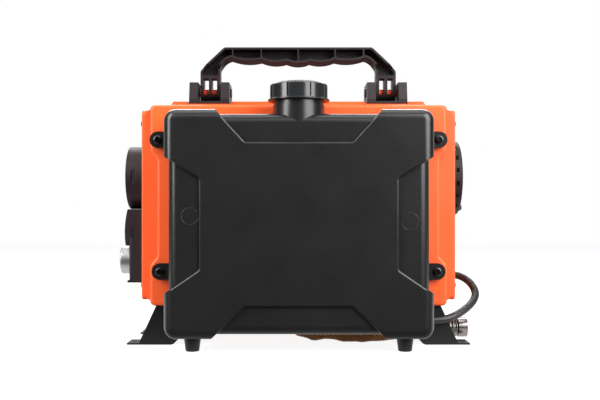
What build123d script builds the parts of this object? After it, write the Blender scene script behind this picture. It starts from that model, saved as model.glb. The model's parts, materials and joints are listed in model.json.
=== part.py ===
from build123d import *
import os
from math import cos, degrees, pi, radians, sin, sqrt, tan

# A portable diesel air heater. Millimetres, +Z up, X along the case, +Y away from the fuel tank.
# The origin is on the floor, in the middle of the four feet's bolt holes.

# Fits
running_gap = 0.05        # radial, for pins, shafts and plungers
piece_gap = 0.3           # between curved or moving neighbours
wall = 3.0                # moulded case wall

# Case: two shells that meet at Y = 0, each with a raised, waisted slab on its outer face
body_half_width = 190.0
body_half_depth = 62.0
body_bottom = 55.3
body_height = 237.1
body_top = body_bottom + body_height
body_corner = 5.0
slab_inset = 6.5          # how far the slab's sides stay inside the body's
slab_half_width = body_half_width - slab_inset
slab_rise = 13.0          # how far its face stands out
slab_half_depth = body_half_depth + slab_rise
slab_lip = 28.0           # how deep its edge reaches
slab_drop = 6.3
slab_bottom = body_bottom - slab_drop
slab_top = body_top + 4.9
slab_corner = 6.0
slab_edge = 4.0
waist_step = 8.5
waist_low = slab_bottom + 60.7
waist_high = slab_top - 67.0
waist_slant = 9.5
deck_top = slab_top + 10.7    # raised deck that the brackets stand on
deck_half_length = slab_half_width - 7.8
deck_half_depth = 23.0
deck_end_slope = 14.7
pad_top = deck_top - 4.0      # lower pads in the deck, under the brackets
pad_margin = 2.0
panel_thickness = 5.8
panel_face = body_half_width + panel_thickness
panel_corner = 6.0
panel_edge = 2.0
boss_radius = 7.0
boss_length = 14.0
boss_wall = 3.0
screw_depth = 9.0
panel_screw_inset = 11.0
panel_screw_low = body_bottom + 18.0
panel_screw_high = body_top - 16.4
panel_block = 14.0
panel_block_half = 8.0

# Handle and its brackets
pivot_height = pad_top + 18.0
handle_top = pivot_height + 57.0
handle_half_width = 127.6
handle_shoulder = pivot_height + 27.5    # where the outer edge starts to slant inwards
handle_shoulder_round = 6.0
handle_flat_half = handle_half_width - 31.6
handle_top_round = 5.0
leg_width = 25.8
leg_half_depth = 11.0
grip_half_depth = 18.0
flare_low = pivot_height + 30.0
flare_high = pivot_height + 35.0
grip_inner_corner = pivot_height + 23.0
grip_waves = [
    (handle_half_width - 40.6, handle_top - 12.7),
    (63.0, handle_top - 17.0),
    (48.0, handle_top - 15.0),
    (31.0, handle_top - 19.0),
    (15.0, handle_top - 17.0),
]
grip_middle = handle_top - 20.2
rim = 2.6
web = 3.0
pocket_floor = pivot_height + 21.6
pocket_ribs = [0.0, 48.0, 85.0]
rib_thickness = 1.8
fin_slot_width = 6.8
fin_slot_top = pivot_height + 17.8
fin_slot_bottom = pivot_height - 3.6
fin_slot_spacing = 10.6
pin_radius = 4.8
pin_head_radius = 6.2
pin_head_height = 1.6
pin_head_gap = 0.05         # between a pin's head and its bracket
bracket_ear = 11.2
bracket_side_gap = 1.8
bracket_draft = 0.3
bracket_round = 1.5
bracket_top = pivot_height + 11.0
bracket_floor = pad_top + 4.0
bracket_half_depth = 28.0
bracket_ear_half_depth = 24.0
bracket_foot_height = pad_top + 7.0
bracket_screw_spread = 21.0
bracket_screw_length = 11.0

# Fuel tank
tank_gap = 6.0            # between the tank's back and the slab
tank_depth = 66.0
tank_back = -slab_half_depth - tank_gap
tank_front = tank_back - tank_depth
tank_low = 16.8           # the tank's feet fill this height
tank_high = slab_top - 12.9
tank_half_width = slab_half_width - 26.4
tank_corner = 14.0
tank_edge = 12.0
tank_wall = 3.0
field_depth = 4.0         # how deep the four fields lie below the raised panel
field_side_step = 5.3
field_edge = 2.5
field_corner = 4.0
panel_overrun = 20.0      # the raised panel's outline runs past the tank's sides
top_field = [(tank_half_width - 95.1, tank_high - 38.9), (tank_half_width - 59.5, tank_high)]
side_field_high = [(tank_half_width - 41.6, tank_high - 81.1), (tank_half_width, tank_high - 55.2)]
side_field_low = [(tank_half_width - 41.6, tank_low + 80.9), (tank_half_width, tank_low + 52.8)]
bottom_field = [(tank_half_width - 95.1, tank_low + 38.4), (tank_half_width - 62.1, tank_low + 7.2)]
ring_radius = 10.4
ring_width = 0.9
ring_depth = 0.4
ring_places = [
    (-(tank_half_width - 31.1), tank_high - 124.9),
    (tank_half_width - 28.6, tank_high - 130.9),
]
neck_y = tank_front + 35.0
neck_radius = 30.9
neck_shoulder = tank_high + 6.6
thread_radius = 29.6
neck_top = neck_shoulder + 22.0
neck_bore = 26.5
ear_radius = 10.0
ear_thickness = 8.0
upper_ear = (tank_half_width + 15.4, tank_high - 30.9)
lower_ear = (tank_half_width + 12.9, tank_low + 75.2)
tank_foot_x = tank_half_width - 31.1
tank_foot_y = tank_front + 31.0
tank_foot_top_radius = 10.3
tank_foot_low_radius = 8.0
tank_foot_round = 1.5

# Filler cap
cap_gap = 0.4
cap_radius = 34.3
cap_low = neck_shoulder + 5.0
cap_round = 2.2
cap_flange_radius = 36.7
cap_flange_height = 2.2
cap_shoulder = cap_low + 20.0
cap_disc_radius = 28.4
cap_disc_top = cap_shoulder + 1.8
cap_disc_round = 1.0
cap_grooves = 8
cap_groove_width = 2.4
cap_groove_depth = 1.8
gasket_thickness = 1.5

# Screws
m6_radius = 3.0
m6_head_radius = 5.4
m6_head_height = 3.3
m5_radius = 2.5
m5_head_radius = 4.4
m5_head_height = 2.6
m4_radius = 2.0
m4_head_radius = 3.8
m4_head_height = 2.2
panel_screw_length = 14.0

# Leg brackets: folded steel sheet, one under each corner
sheet = 2.0
leg_outer_top = slab_half_width - 6.7
leg_outer_foot = leg_outer_top + 22.7
leg_inner_foot = leg_outer_foot - 43.5
leg_inner_top = leg_inner_foot - 46.0
leg_inner_round = 8.0
leg_front = slab_half_depth - 9.0     # distance of the gusset's face from the middle
leg_depth = 34.0
foot_width = 14.0
foot_hole_radius = 3.3
leg_screw_inset = 9.5
leg_screw_places = [leg_outer_top - 48.8, leg_outer_top - 12.8]

# Heater inside the case
heater_axis = body_top - 82.4
heater_half_length = body_half_width - 20.0
heater_half_width = body_half_depth - 6.0
heater_half_height = 59.0
heater_bottom = heater_axis - heater_half_height
heater_top = heater_axis + heater_half_height
heater_corner = 28.0
inlet_bore = 45.0
exchanger_radius = 38.0
exchanger_wall = 4.0
exchanger_round = 12.0
exchanger_left = 30.0 - heater_half_length
exchanger_right = heater_half_length - 160.0
fin_count = 20
fin_radius = 50.0
fin_thickness = 1.6
exhaust_x = exchanger_right - 12.0
exhaust_y = -20.0
exhaust_stub_radius = 9.6
exhaust_stub_low = body_bottom + 28.7
air_x = exchanger_right + 25.0
air_stub_radius = 9.5
air_stub_low = heater_bottom - 19.0
burner_radius = 28.0
burner_wall = 1.5
burner_length = 80.0
plate_thickness = 4.0
blower_length = 36.0
motor_radius = 22.0
motor_length = 50.0
bearing_radius = 7.0
bearing_width = 5.0
rotor_radius = 3.0
fan_left = heater_half_length - 56.0
fan_length = 32.0
fan_radius = 47.0
fan_hub_radius = 14.0
fan_blades = 7
fan_blade_turn = 38.0
impeller_radius = 30.0
impeller_blades = 12
plug_x = exchanger_right - 20.0
sensor_x = exchanger_left + 40.0
inlet_fitting_x = exchanger_right + plate_thickness / 2
inlet_fitting_y = 20.0
inlet_fitting_low = heater_bottom - 11.0

# Left end: hot-air outlet and control pod
collar_radius = 40.8
collar_bore = 38.0
collar_face = panel_face + 24.7
collar_round = 1.2
collar_flange = 46.0
collar_recess_depth = 1.2
collar_recess_width = 5.0
collar_recess_height = 22.0
collar_recess_inset = 9.9
louvre_bulge = 2.4
louvre_depth = 18.0
louvre_blades = 5
blade_spacing = 12.5
blade_thickness = 1.8
blade_tilt = 25.0
pod_face = panel_face + 20.8
pod_half_width = 34.0
pod_low = body_bottom + 19.4
pod_high = pod_low + 57.3
pod_wall = 2.5
pod_corner = 3.0
pod_lip = 2.8
pod_lip_height = 2.7
hood_face = pod_face + 5.1
hood_shoulder = pod_face + 2.7
hood_low = pod_high - 10.1
hood_high = heater_axis - collar_radius - 0.4
hood_half_width = 30.0
hood_bow = 0.9
lens_half_width = 20.0
lens_low = pod_high + 2.0
lens_high = hood_high - 6.8
lens_thickness = 1.5
vent_count = 6
vent_pitch = 2.4
vent_depth = 0.8
vent_outer = pod_face - 1.0
vent_inner = pod_face - 6.5
knob_height = pod_low + 28.0
knob_radius = 18.6
knob_face = pod_face + 15.3
knob_edge = 2.2
knob_travel = 1.2
knob_cap = 3.0
encoder_shaft_radius = 3.0
encoder_half = 7.0
board_thickness = 1.6
board_margin = 5.0
board_face = pod_face - 12.7
post_radius = 2.5
post_inset = 9.0

# Right end: intake grille
grille_radius = 48.2
grille_rim = panel_face + 12.5
grille_face = grille_rim + 2.5
grille_duct_radius = 46.5
grille_duct_bore = 44.0
grille_shell = 3.0
grille_slots = [(8.0, 14.0), (18.0, 24.0), (28.0, 34.0), (38.0, 43.0)]
grille_spokes = 8
grille_edge = 1.2
rim_slots = 18
rim_slot_width = 6.0
rim_slot_low = 4.5
rim_slot_high = 8.0
spoke_width = 3.5

# Fuel line, from the tank's outlet to the burner
line_y = 3.0
line_z = body_bottom + 27.7
hose_radius = 4.85
hose_bore = 2.6
outlet_bore = 3.5
outlet_x = tank_half_width - 26.1
outlet_z = tank_low + 13.7
outlet_y = tank_back + 7.5
outlet_stem_radius = 4.2
outlet_base_radius = 7.0
grommet_neck_radius = 6.6
filter_right = body_half_width - 6.0
filter_left = filter_right - 20.0
filter_radius = 9.0
pump_right = filter_left - 16.0
pump_left = pump_right - 56.0
pump_radius = 14.0
pump_stub_radius = 3.0
plunger_radius = 4.0
plunger_stroke = 3.0
inner_line_radius = 2.2

# Inner frame that carries the heater
frame_top = heater_bottom - 1.0
frame_half_length = pump_left + 33.0
frame_half_width = heater_half_width - 11.0
frame_foot = 16.0
frame_screw_y = 30.0
window_half_width = 20.0
pump_bracket_x = frame_half_length - 20.0
pump_bracket_half = 7.0

# Exhaust
pipe_radius = 12.0
pipe_root = 10.5
cuff_radius = 12.5
pipe_bore = 9.9
rib_pitch = 4.4
cuff_length = 10.5
sleeve_radius = 14.8
sleeve_gap = 0.4
pipe_height = 15.8
pipe_end = panel_face + 22.5
pipe_top = exhaust_stub_low + 26.0
sleeve_top = body_bottom + 1.2
sleeve_end = leg_inner_foot + 2.0
hanger_x = body_half_width - 9.0
hanger_half = 4.0
floor_hole = 17.0

# Electrical
loom_radius = 2.5
loom_y = 20.0
loom_z = pod_low + 25.3
loom_end_y = 12.0
power_y = 33.0
power_z = line_z + 2.0
power_half_width = 9.0
power_half_height = 6.0
control_left = 10.0 - frame_half_length
control_right = exhaust_x - 18.0
control_y0 = 4.0
control_y1 = 46.0
control_height = 6.0


# ---- Shapes that are used more than once ----

def box_between(x0, x1, y0, y1, z0, z1):
    middle = Pos((x0 + x1) / 2, (y0 + y1) / 2, (z0 + z1) / 2)
    return middle * Box(x1 - x0, y1 - y0, z1 - z0)


def rod_x(radius, x0, x1, y, z):
    return Pos((x0 + x1) / 2, y, z) * Rot(0, 90, 0) * Cylinder(radius, x1 - x0)


def rod_y(radius, x, y0, y1, z):
    return Pos(x, (y0 + y1) / 2, z) * Rot(90, 0, 0) * Cylinder(radius, y1 - y0)


def rod_z(radius, x, y, z0, z1):
    return Pos(x, y, (z0 + z1) / 2) * Cylinder(radius, z1 - z0)


def prism_y(points, y0, y1, radius=0.0):
    # An outline in X and Z, drawn out along Y
    corners = [(x, y0, z) for x, z in points]
    outline = FilletPolyline(*corners, radius=radius, close=True)
    return extrude(make_face(outline), amount=y1 - y0, dir=(0, 1, 0))


def prism_x(points, x0, x1, radius=0.0):
    # An outline in Y and Z, drawn out along X
    corners = [(x0, y, z) for y, z in points]
    outline = FilletPolyline(*corners, radius=radius, close=True)
    return extrude(make_face(outline), amount=x1 - x0, dir=(1, 0, 0))


def mirrored_x(shape):
    return mirror(shape, about=Plane.YZ)


def mirrored_y(shape):
    return mirror(shape, about=Plane.XZ)


def both_sides(points):
    # Completes an outline whose right half is listed from top to bottom
    return points + [(-x, z) for x, z in reversed(points)]


def button_screw(radius, head_radius, head_height, length):
    # Head upwards, seated at the origin, with a hexagonal socket
    head = Cylinder(head_radius, head_height, align=(Align.CENTER, Align.CENTER, Align.MIN))
    head = fillet(head.edges().group_by(Axis.Z)[-1], head_height * 0.7)
    shank = Pos(0, 0, -length / 2) * Cylinder(radius, length)
    socket_depth = head_height * 0.6
    socket = extrude(RegularPolygon(radius * 0.72, 6), amount=socket_depth)
    return head + shank - Pos(0, 0, head_height - socket_depth) * socket


def countersink(radius, head_radius, head_height, length):
    # The space of a flat-headed screw whose head ends level with the origin
    head = Pos(0, 0, -head_height / 2) * Cone(radius, head_radius, head_height)
    return head + Pos(0, 0, -length / 2) * Cylinder(radius, length)


def flat_screw(radius, head_radius, head_height, length):
    socket = extrude(RegularPolygon(radius * 0.72, 6), amount=-head_height * 0.6)
    return countersink(radius, head_radius, head_height, length) - socket


def group(solids):
    return Compound(children=list(solids))


# ---- Case ----

def slab_outline():
    narrow = slab_half_width - waist_step
    right = [
        (slab_half_width, slab_top),
        (slab_half_width, waist_high + waist_slant),
        (narrow, waist_high),
        (narrow, waist_low),
        (slab_half_width, waist_low - waist_slant),
        (slab_half_width, slab_bottom),
    ]
    return both_sides(right)


def deck(y_outer):
    # Half of the raised deck on top of the case, with a pad under each bracket
    pad_in = bracket_inner() - pad_margin
    pad_out = bracket_outer() + pad_margin
    right = [
        (pad_in, deck_top),
        (pad_in, pad_top),
        (pad_out, pad_top),
        (pad_out, deck_top),
        (deck_half_length - deck_end_slope, deck_top),
        (deck_half_length, body_top - wall),
    ]
    ridge = prism_y(both_sides(right), -y_outer, 0)
    pad_edge = bracket_half_depth + pad_margin
    pad = box_between(pad_in, pad_out, -pad_edge, 0, body_top - wall, pad_top)
    return ridge + pad + mirrored_x(pad)


def bracket_inner():
    return handle_half_width - leg_width - bracket_side_gap - bracket_ear


def bracket_outer():
    return handle_half_width + bracket_side_gap + bracket_ear


def ear_places():
    right = [upper_ear, lower_ear]
    return right + [(-x, z) for x, z in right]


def panel_screw_places():
    y = body_half_depth - panel_screw_inset
    return [(side * y, z) for side in (-1, 1) for z in (panel_screw_low, panel_screw_high)]


def shell(with_exhaust):
    slab = prism_y(slab_outline(), -slab_half_depth, slab_lip - slab_half_depth, slab_corner)
    slab = fillet(slab.faces().sort_by(Axis.Y)[0].edges(), slab_edge)
    body_points = [
        (body_half_width, body_top),
        (body_half_width, body_bottom),
        (-body_half_width, body_bottom),
        (-body_half_width, body_top),
    ]
    body = prism_y(body_points, -body_half_depth, 0, body_corner)
    outside = slab + body + deck(deck_half_depth)
    cavity_x = slab_half_width - waist_step - wall
    slab_room = box_between(-cavity_x, cavity_x, wall - slab_half_depth, -body_half_depth,
                            slab_bottom + wall, slab_top - wall)
    body_room = box_between(-body_half_width - 1, body_half_width + 1, wall - body_half_depth, 1,
                            body_bottom + wall, body_top - wall)
    deck_room = box_between(wall - deck_half_length + deck_end_slope,
                            deck_half_length - deck_end_slope - wall,
                            wall - deck_half_depth, 1, body_top - wall - 1, pad_top - wall)
    shape = outside - slab_room - body_room - deck_room
    shape = shape + bosses()
    for x, z in ear_places():
        shape = shape - rod_y(m6_radius + running_gap, x, -slab_half_depth - 1,
                              boss_length - slab_half_depth, z)
    for x in leg_screw_places:
        for side in (-1, 1):
            shape = shape - rod_z(m5_radius + running_gap, side * x, leg_screw_y(),
                                  slab_bottom - 1, slab_bottom + screw_depth)
    for y, z in panel_screw_places():
        if y < 0:
            bore = rod_x(m4_radius + running_gap, body_half_width + wall - panel_block,
                         body_half_width + 1, y, z)
            shape = shape - bore - mirrored_x(bore)
    for x, y in bracket_screw_places():
        if y < 0:
            shape = shape - rod_z(m4_radius + running_gap, x, y, pad_top - screw_depth, pad_top + 1)
    for x, y in frame_screw_places():
        if y < 0:
            shape = shape - rod_z(m4_radius + running_gap, x, y, body_bottom - 1, body_bottom + wall + 1)
    if with_exhaust:
        shape = shape - rod_z(floor_hole, exhaust_x, exhaust_y, slab_bottom, body_bottom + wall + 1)
        shape = shape - rod_z(air_stub_radius, air_x, exhaust_y, slab_bottom, body_bottom + wall + 1)
    return shape


def bosses():
    # Screw bosses inside one shell, for the tank, the end panels and the brackets
    parts = []
    for x, z in ear_places():
        parts.append(rod_y(boss_radius, x, wall / 2 - slab_half_depth,
                           boss_length + 2 - slab_half_depth, z))
    for y, z in panel_screw_places():
        if y < 0:
            upper = z == panel_screw_high
            low = z - panel_block_half if upper else body_bottom + wall / 2
            high = body_top - wall / 2 if upper else z + panel_block_half
            block = box_between(body_half_width - panel_block, body_half_width,
                                wall / 2 - body_half_depth, y + panel_block_half, low, high)
            parts.append(block)
            parts.append(mirrored_x(block))
    for x, y in bracket_screw_places():
        if y < 0:
            parts.append(rod_z(m4_radius + boss_wall, x, y, pad_top - screw_depth - 1, pad_top - wall / 2))
    for x in leg_screw_places:
        for side in (-1, 1):
            parts.append(rod_z(m5_radius + boss_wall, side * x, leg_screw_y(),
                               slab_bottom + wall / 2, slab_bottom + screw_depth))
    total = parts[0]
    for part in parts[1:]:
        total = total + part
    return total


def end_panel(openings):
    points = [
        (-body_half_depth, body_bottom),
        (body_half_depth, body_bottom),
        (body_half_depth, body_top),
        (-body_half_depth, body_top),
    ]
    panel = prism_x(points, body_half_width, panel_face, panel_corner)
    panel = fillet(panel.faces().sort_by(Axis.X)[-1].edges(), panel_edge)
    for y, z in panel_screw_places():
        panel = panel - rod_x(m4_radius + running_gap, body_half_width - 1, panel_face + 1, y, z)
    for opening in openings:
        panel = panel - opening
    return panel


def left_end_panel():
    # Drawn on the right and mirrored over
    inside = body_half_width - 1
    outside = panel_face + 1
    outlet = rod_x(collar_radius + piece_gap, inside, outside, 0, heater_axis)
    cable = rod_x(loom_radius + piece_gap, inside, outside, loom_y, loom_z)
    return mirrored_x(end_panel([outlet, cable]))


def right_end_panel():
    inside = body_half_width - 1
    outside = panel_face + 1
    intake = rod_x(grille_duct_radius + piece_gap, inside, outside, 0, heater_axis)
    hose = rod_x(grommet_neck_radius, inside, outside, line_y, line_z)
    power = box_between(inside, outside, power_y - power_half_width, power_y + power_half_width,
                        power_z - power_half_height, power_z + power_half_height)
    return end_panel([intake, hose, power])


def case_screws():
    # Those of the end panels and of the inner frame
    screw = button_screw(m4_radius, m4_head_radius, m4_head_height, panel_screw_length)
    right = [Pos(panel_face, y, z) * Rot(0, 90, 0) * screw for y, z in panel_screw_places()]
    left = [Pos(-panel_face, y, z) * Rot(0, -90, 0) * screw for y, z in panel_screw_places()]
    return group(right + left + frame_screws())


# ---- Handle ----

def handle_outline():
    inner = handle_half_width - leg_width
    low = pivot_height - leg_half_depth
    outer = FilletPolyline((inner, 0, low), (handle_half_width, 0, low),
                           (handle_half_width, 0, handle_shoulder),
                           (handle_flat_half, 0, handle_top),
                           (-handle_flat_half, 0, handle_top),
                           (-handle_half_width, 0, handle_shoulder),
                           (-handle_half_width, 0, low), (-inner, 0, low),
                           radius=[0, handle_shoulder_round, handle_top_round,
                                   handle_top_round, handle_shoulder_round, 0])
    first = grip_waves[0]
    corner_middle = (inner - 4.0, 0, (grip_inner_corner + first[1]) / 2 + 4.0)
    right = [
        Line((inner, 0, low), (inner, 0, grip_inner_corner)),
        ThreePointArc((inner, 0, grip_inner_corner), corner_middle, (first[0], 0, first[1])),
        ThreePointArc((grip_waves[0][0], 0, grip_waves[0][1]), (grip_waves[1][0], 0, grip_waves[1][1]),
                      (grip_waves[2][0], 0, grip_waves[2][1])),
        ThreePointArc((grip_waves[2][0], 0, grip_waves[2][1]), (grip_waves[3][0], 0, grip_waves[3][1]),
                      (grip_waves[4][0], 0, grip_waves[4][1])),
    ]
    last = grip_waves[4]
    middle = ThreePointArc((last[0], 0, last[1]), (0, 0, grip_middle), (-last[0], 0, last[1]))
    left = [mirror(edge, about=Plane.YZ) for edge in right]
    edges = outer.edges() + [edge for line in right + [middle] + left for edge in line.edges()]
    return make_face(edges)


def carry_handle():
    low = pivot_height - leg_half_depth
    outline = handle_outline()
    beam = extrude(outline, amount=grip_half_depth, both=True, dir=(0, 1, 0))
    side_points = [
        (leg_half_depth, low),
        (leg_half_depth, flare_low),
        (grip_half_depth, flare_high),
        (grip_half_depth, handle_top),
    ]
    side = prism_x(both_sides(side_points), -handle_half_width - 1, handle_half_width + 1)
    round_end = rod_x(leg_half_depth, -handle_half_width - 1, handle_half_width + 1, 0, pivot_height)
    below_pivot = box_between(-handle_half_width - 1, handle_half_width + 1, -leg_half_depth,
                              leg_half_depth, low, pivot_height)
    side = side - (below_pivot - round_end)
    beam = beam & side
    pocket = offset(outline, amount=-rim) & pocket_area()
    pocket_cut = extrude(pocket, amount=grip_half_depth, dir=(0, 1, 0))
    pocket_cut = Pos(0, web / 2, 0) * pocket_cut
    beam = beam - pocket_cut - mirrored_y(pocket_cut)
    middle = handle_half_width - leg_width / 2
    for side_sign in (-1, 1):
        for slot in (-1, 1):
            x = side_sign * middle + slot * fin_slot_spacing / 2
            beam = beam - box_between(x - fin_slot_width / 2, x + fin_slot_width / 2,
                                      -grip_half_depth, grip_half_depth, fin_slot_bottom, fin_slot_top)
    bore = rod_x(pin_radius + running_gap, -handle_half_width - 1, handle_half_width + 1, 0, pivot_height)
    return beam - bore


def pocket_area():
    # The region of the pockets: above the crossbar of each leg, and between the ribs
    height = handle_top - pocket_floor
    area = Plane.XZ * Pos(0, (handle_top + pocket_floor) / 2) * Rectangle(2 * handle_half_width, height)
    for rib in pocket_ribs:
        for side_sign in (-1, 1):
            bar = Plane.XZ * Pos(side_sign * rib, handle_top) * Rectangle(rib_thickness, 2 * height)
            area = area - bar
    return area


def handle_bracket():
    inner = bracket_inner()
    outer = bracket_outer()
    slot_in = inner + bracket_ear
    slot_out = outer - bracket_ear
    front = [
        (inner, pad_top),
        (outer, pad_top),
        (outer - bracket_draft, bracket_top),
        (slot_out, bracket_top),
        (slot_out, bracket_floor),
        (slot_in, bracket_floor),
        (slot_in, bracket_top),
        (inner + bracket_draft, bracket_top),
    ]
    shape = prism_y(front, -bracket_half_depth, bracket_half_depth)
    side = [
        (bracket_ear_half_depth, bracket_top),
        (bracket_half_depth, bracket_foot_height),
        (bracket_half_depth, pad_top),
    ]
    shape = shape & prism_x(both_sides(side), inner - 1, outer + 1, bracket_round)
    shape = shape - rod_x(pin_radius + running_gap, inner - 1, outer + 1, 0, pivot_height)
    for x, y in bracket_screw_places():
        if x > 0:
            seat = countersink(m4_radius + running_gap, m4_head_radius + running_gap,
                               m4_head_height, bracket_screw_length + 1)
            shape = shape - Pos(x, y, bracket_floor) * seat
    return shape


def bracket_screw_places():
    x = handle_half_width - leg_width / 2
    return [(side_x * x, side_y * bracket_screw_spread) for side_x in (-1, 1) for side_y in (-1, 1)]


def bracket_screws():
    screw = flat_screw(m4_radius, m4_head_radius, m4_head_height, bracket_screw_length)
    return group(Pos(x, y, bracket_floor) * screw for x, y in bracket_screw_places())


def hinge_pin():
    inner = bracket_inner() - pin_head_gap
    outer = bracket_outer() + pin_head_gap
    pin = rod_x(pin_radius, inner, outer, 0, pivot_height)
    for x0, x1 in ((inner - pin_head_height, inner), (outer, outer + pin_head_height)):
        head = rod_x(pin_head_radius, x0, x1, 0, pivot_height)
        pin = pin + head
    return pin


# ---- Fuel tank ----

def pillow(half_width, low, high, front, back, corner, edge):
    # A block with a rounded outline and rounded front and back edges
    points = [(half_width, high), (half_width, low), (-half_width, low), (-half_width, high)]
    block = prism_y(points, front, back, corner)
    faces = block.faces().sort_by(Axis.Y)
    return fillet(faces[0].edges() + faces[-1].edges(), edge)


def run_past(inner, outer, reach):
    # A point past the outer one, on the line from the inner one
    length = sqrt((outer[0] - inner[0]) ** 2 + (outer[1] - inner[1]) ** 2)
    return (outer[0] + (outer[0] - inner[0]) * reach / length,
            outer[1] + (outer[1] - inner[1]) * reach / length)


def raised_panel_outline():
    edge = tank_half_width + panel_overrun
    top = tank_high + panel_overrun
    bottom = tank_low - panel_overrun
    top_out = run_past(*top_field, panel_overrun * 1.4)
    high_out = run_past(*side_field_high, panel_overrun * 1.2)
    low_out = run_past(*side_field_low, panel_overrun * 1.2)
    bottom_out = run_past(*bottom_field, panel_overrun * 2.0)
    right = [
        top_field[0],
        top_out,
        (edge + panel_overrun, top_out[1] + panel_overrun),
        (edge + panel_overrun, high_out[1]),
        high_out,
        side_field_high[0],
        side_field_low[0],
        low_out,
        (edge + panel_overrun, low_out[1]),
        (edge + panel_overrun, bottom_out[1] - panel_overrun),
        bottom_out,
        bottom_field[0],
    ]
    return both_sides(right)


def tank_form(inset):
    front = tank_front + inset
    back = tank_back - inset
    low = tank_low + inset
    high = tank_high - inset
    half_width = tank_half_width - inset
    whole = pillow(half_width, low, high, front, back, tank_corner - inset, tank_edge - inset)
    core = pillow(half_width - field_side_step, low + field_side_step, high - field_side_step,
                  front + field_depth, back, tank_corner - inset, tank_edge - inset - 1.0)
    outline = FilletPolyline(*[(x, front, z) for x, z in raised_panel_outline()],
                             radius=field_corner, close=True)
    face = make_face(outline)
    if inset > 0:
        face = offset(face, amount=-inset)
    raised = extrude(face, amount=back - front, dir=(0, 1, 0))
    raised = fillet(raised.faces().sort_by(Axis.Y)[0].edges(), field_edge)
    return (core + raised) & whole


def fuel_tank():
    neck = rod_z(neck_radius, 0, neck_y, tank_high - tank_edge - 12, neck_shoulder)
    neck = neck + rod_z(thread_radius, 0, neck_y, neck_shoulder - 1, neck_top)
    outside = tank_form(0) + neck
    for x, z in ear_places():
        side = 1 if x > 0 else -1
        reach = tank_half_width - tank_edge - 6
        ear = rod_y(ear_radius, x, -slab_half_depth - ear_thickness, -slab_half_depth, z)
        low_x, high_x = sorted((side * reach, x))
        arm = box_between(low_x, high_x, -slab_half_depth - ear_thickness, -slab_half_depth,
                          z - ear_radius, z + ear_radius)
        outside = outside + ear + arm
    tank = outside - tank_form(tank_wall)
    tank = tank - rod_z(neck_bore, 0, neck_y, tank_high - tank_edge - 20, neck_top + 1)
    for x, z in ear_places():
        tank = tank - rod_y(m6_radius + running_gap, x, -slab_half_depth - ear_thickness - 1,
                            -slab_half_depth + 1, z)
    tank = tank - rod_y(outlet_bore, outlet_x, tank_back - tank_wall - 1, tank_back + 1, outlet_z)
    for x, z in ring_places:
        floor = tank_front + field_depth
        ring = rod_y(ring_radius, x, floor - 1, floor + ring_depth, z)
        core = rod_y(ring_radius - ring_width, x, floor - 1, floor + ring_depth, z)
        tank = tank - (ring - core)
    return tank


def tank_screws():
    screw = button_screw(m6_radius, m6_head_radius, m6_head_height, ear_thickness + boss_length - 2)
    seat = -slab_half_depth - ear_thickness
    return group(Pos(x, seat, z) * Rot(90, 0, 0) * screw for x, z in ear_places())


def tank_feet():
    feet = []
    for side in (-1, 1):
        foot = Cone(tank_foot_low_radius, tank_foot_top_radius, tank_low)
        foot = fillet(foot.edges().group_by(Axis.Z)[0], tank_foot_round)
        feet.append(Pos(side * tank_foot_x, tank_foot_y, tank_low / 2) * foot)
    return group(feet)


def filler_cap():
    body = rod_z(cap_radius, 0, neck_y, cap_low, cap_shoulder)
    body = fillet(body.edges().group_by(Axis.Z)[-1], cap_round)
    disc = rod_z(cap_disc_radius, 0, neck_y, cap_shoulder - 1, cap_disc_top)
    disc = fillet(disc.edges().group_by(Axis.Z)[-1], cap_disc_round)
    flange = rod_z(cap_flange_radius, 0, neck_y, cap_low, cap_low + cap_flange_height)
    flange = fillet(flange.edges(), 0.8)
    cap = body + disc + flange
    for number in range(cap_grooves):
        angle = 360 / cap_grooves * number + 22.5
        groove = Pos(cap_radius, 0, 0) * Box(2 * cap_groove_depth, cap_groove_width,
                                             cap_shoulder - cap_low + 6)
        middle = (cap_low + cap_flange_height + cap_shoulder + 6) / 2 + 2
        cap = cap - Pos(0, neck_y, middle) * Rot(0, 0, angle) * groove
    bore = rod_z(thread_radius + cap_gap, 0, neck_y, cap_low - 1, neck_top + gasket_thickness + piece_gap)
    return cap - bore


def cap_gasket():
    low = neck_top + piece_gap / 2
    disc = rod_z(thread_radius - 0.6, 0, neck_y, low, low + gasket_thickness)
    return disc


# ---- Legs ----

def leg_screw_y():
    return leg_screw_inset - leg_front


def leg():
    # The right leg on the tank side
    gusset = prism_y([(leg_inner_top, slab_bottom), (leg_outer_top, slab_bottom),
                      (leg_outer_foot, 0), (leg_inner_foot, 0)], -leg_front, sheet - leg_front)
    corner = gusset.edges().filter_by(Axis.Y).group_by(Axis.Z)[0].sort_by(Axis.X)[0]
    gusset = fillet(corner, leg_inner_round)
    slant = leg_outer_foot - leg_outer_top
    strap_width = sheet * sqrt(slant ** 2 + slab_bottom ** 2) / slab_bottom
    strap = prism_y([(leg_outer_top - strap_width, slab_bottom), (leg_outer_top, slab_bottom),
                     (leg_outer_foot, 0), (leg_outer_foot - strap_width, 0)],
                    -leg_front, leg_depth - leg_front)
    foot = box_between(leg_outer_foot - strap_width, leg_outer_foot + foot_width, -leg_front,
                       leg_depth - leg_front, 0, sheet)
    foot = foot - rod_z(foot_hole_radius, leg_outer_foot + foot_width / 2, foot_hole_y(), -1, sheet + 1)
    flange = box_between(leg_inner_top + sheet, leg_outer_top - sheet / 2, -leg_front,
                         slab_lip - slab_half_depth, slab_bottom - sheet, slab_bottom)
    for x in leg_screw_places:
        flange = flange - rod_z(m5_radius + running_gap, x, leg_screw_y(), slab_bottom - sheet - 1,
                                slab_bottom + 1)
    return gusset + strap + foot + flange


def foot_hole_y():
    return -(leg_front - leg_depth / 2)


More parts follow.
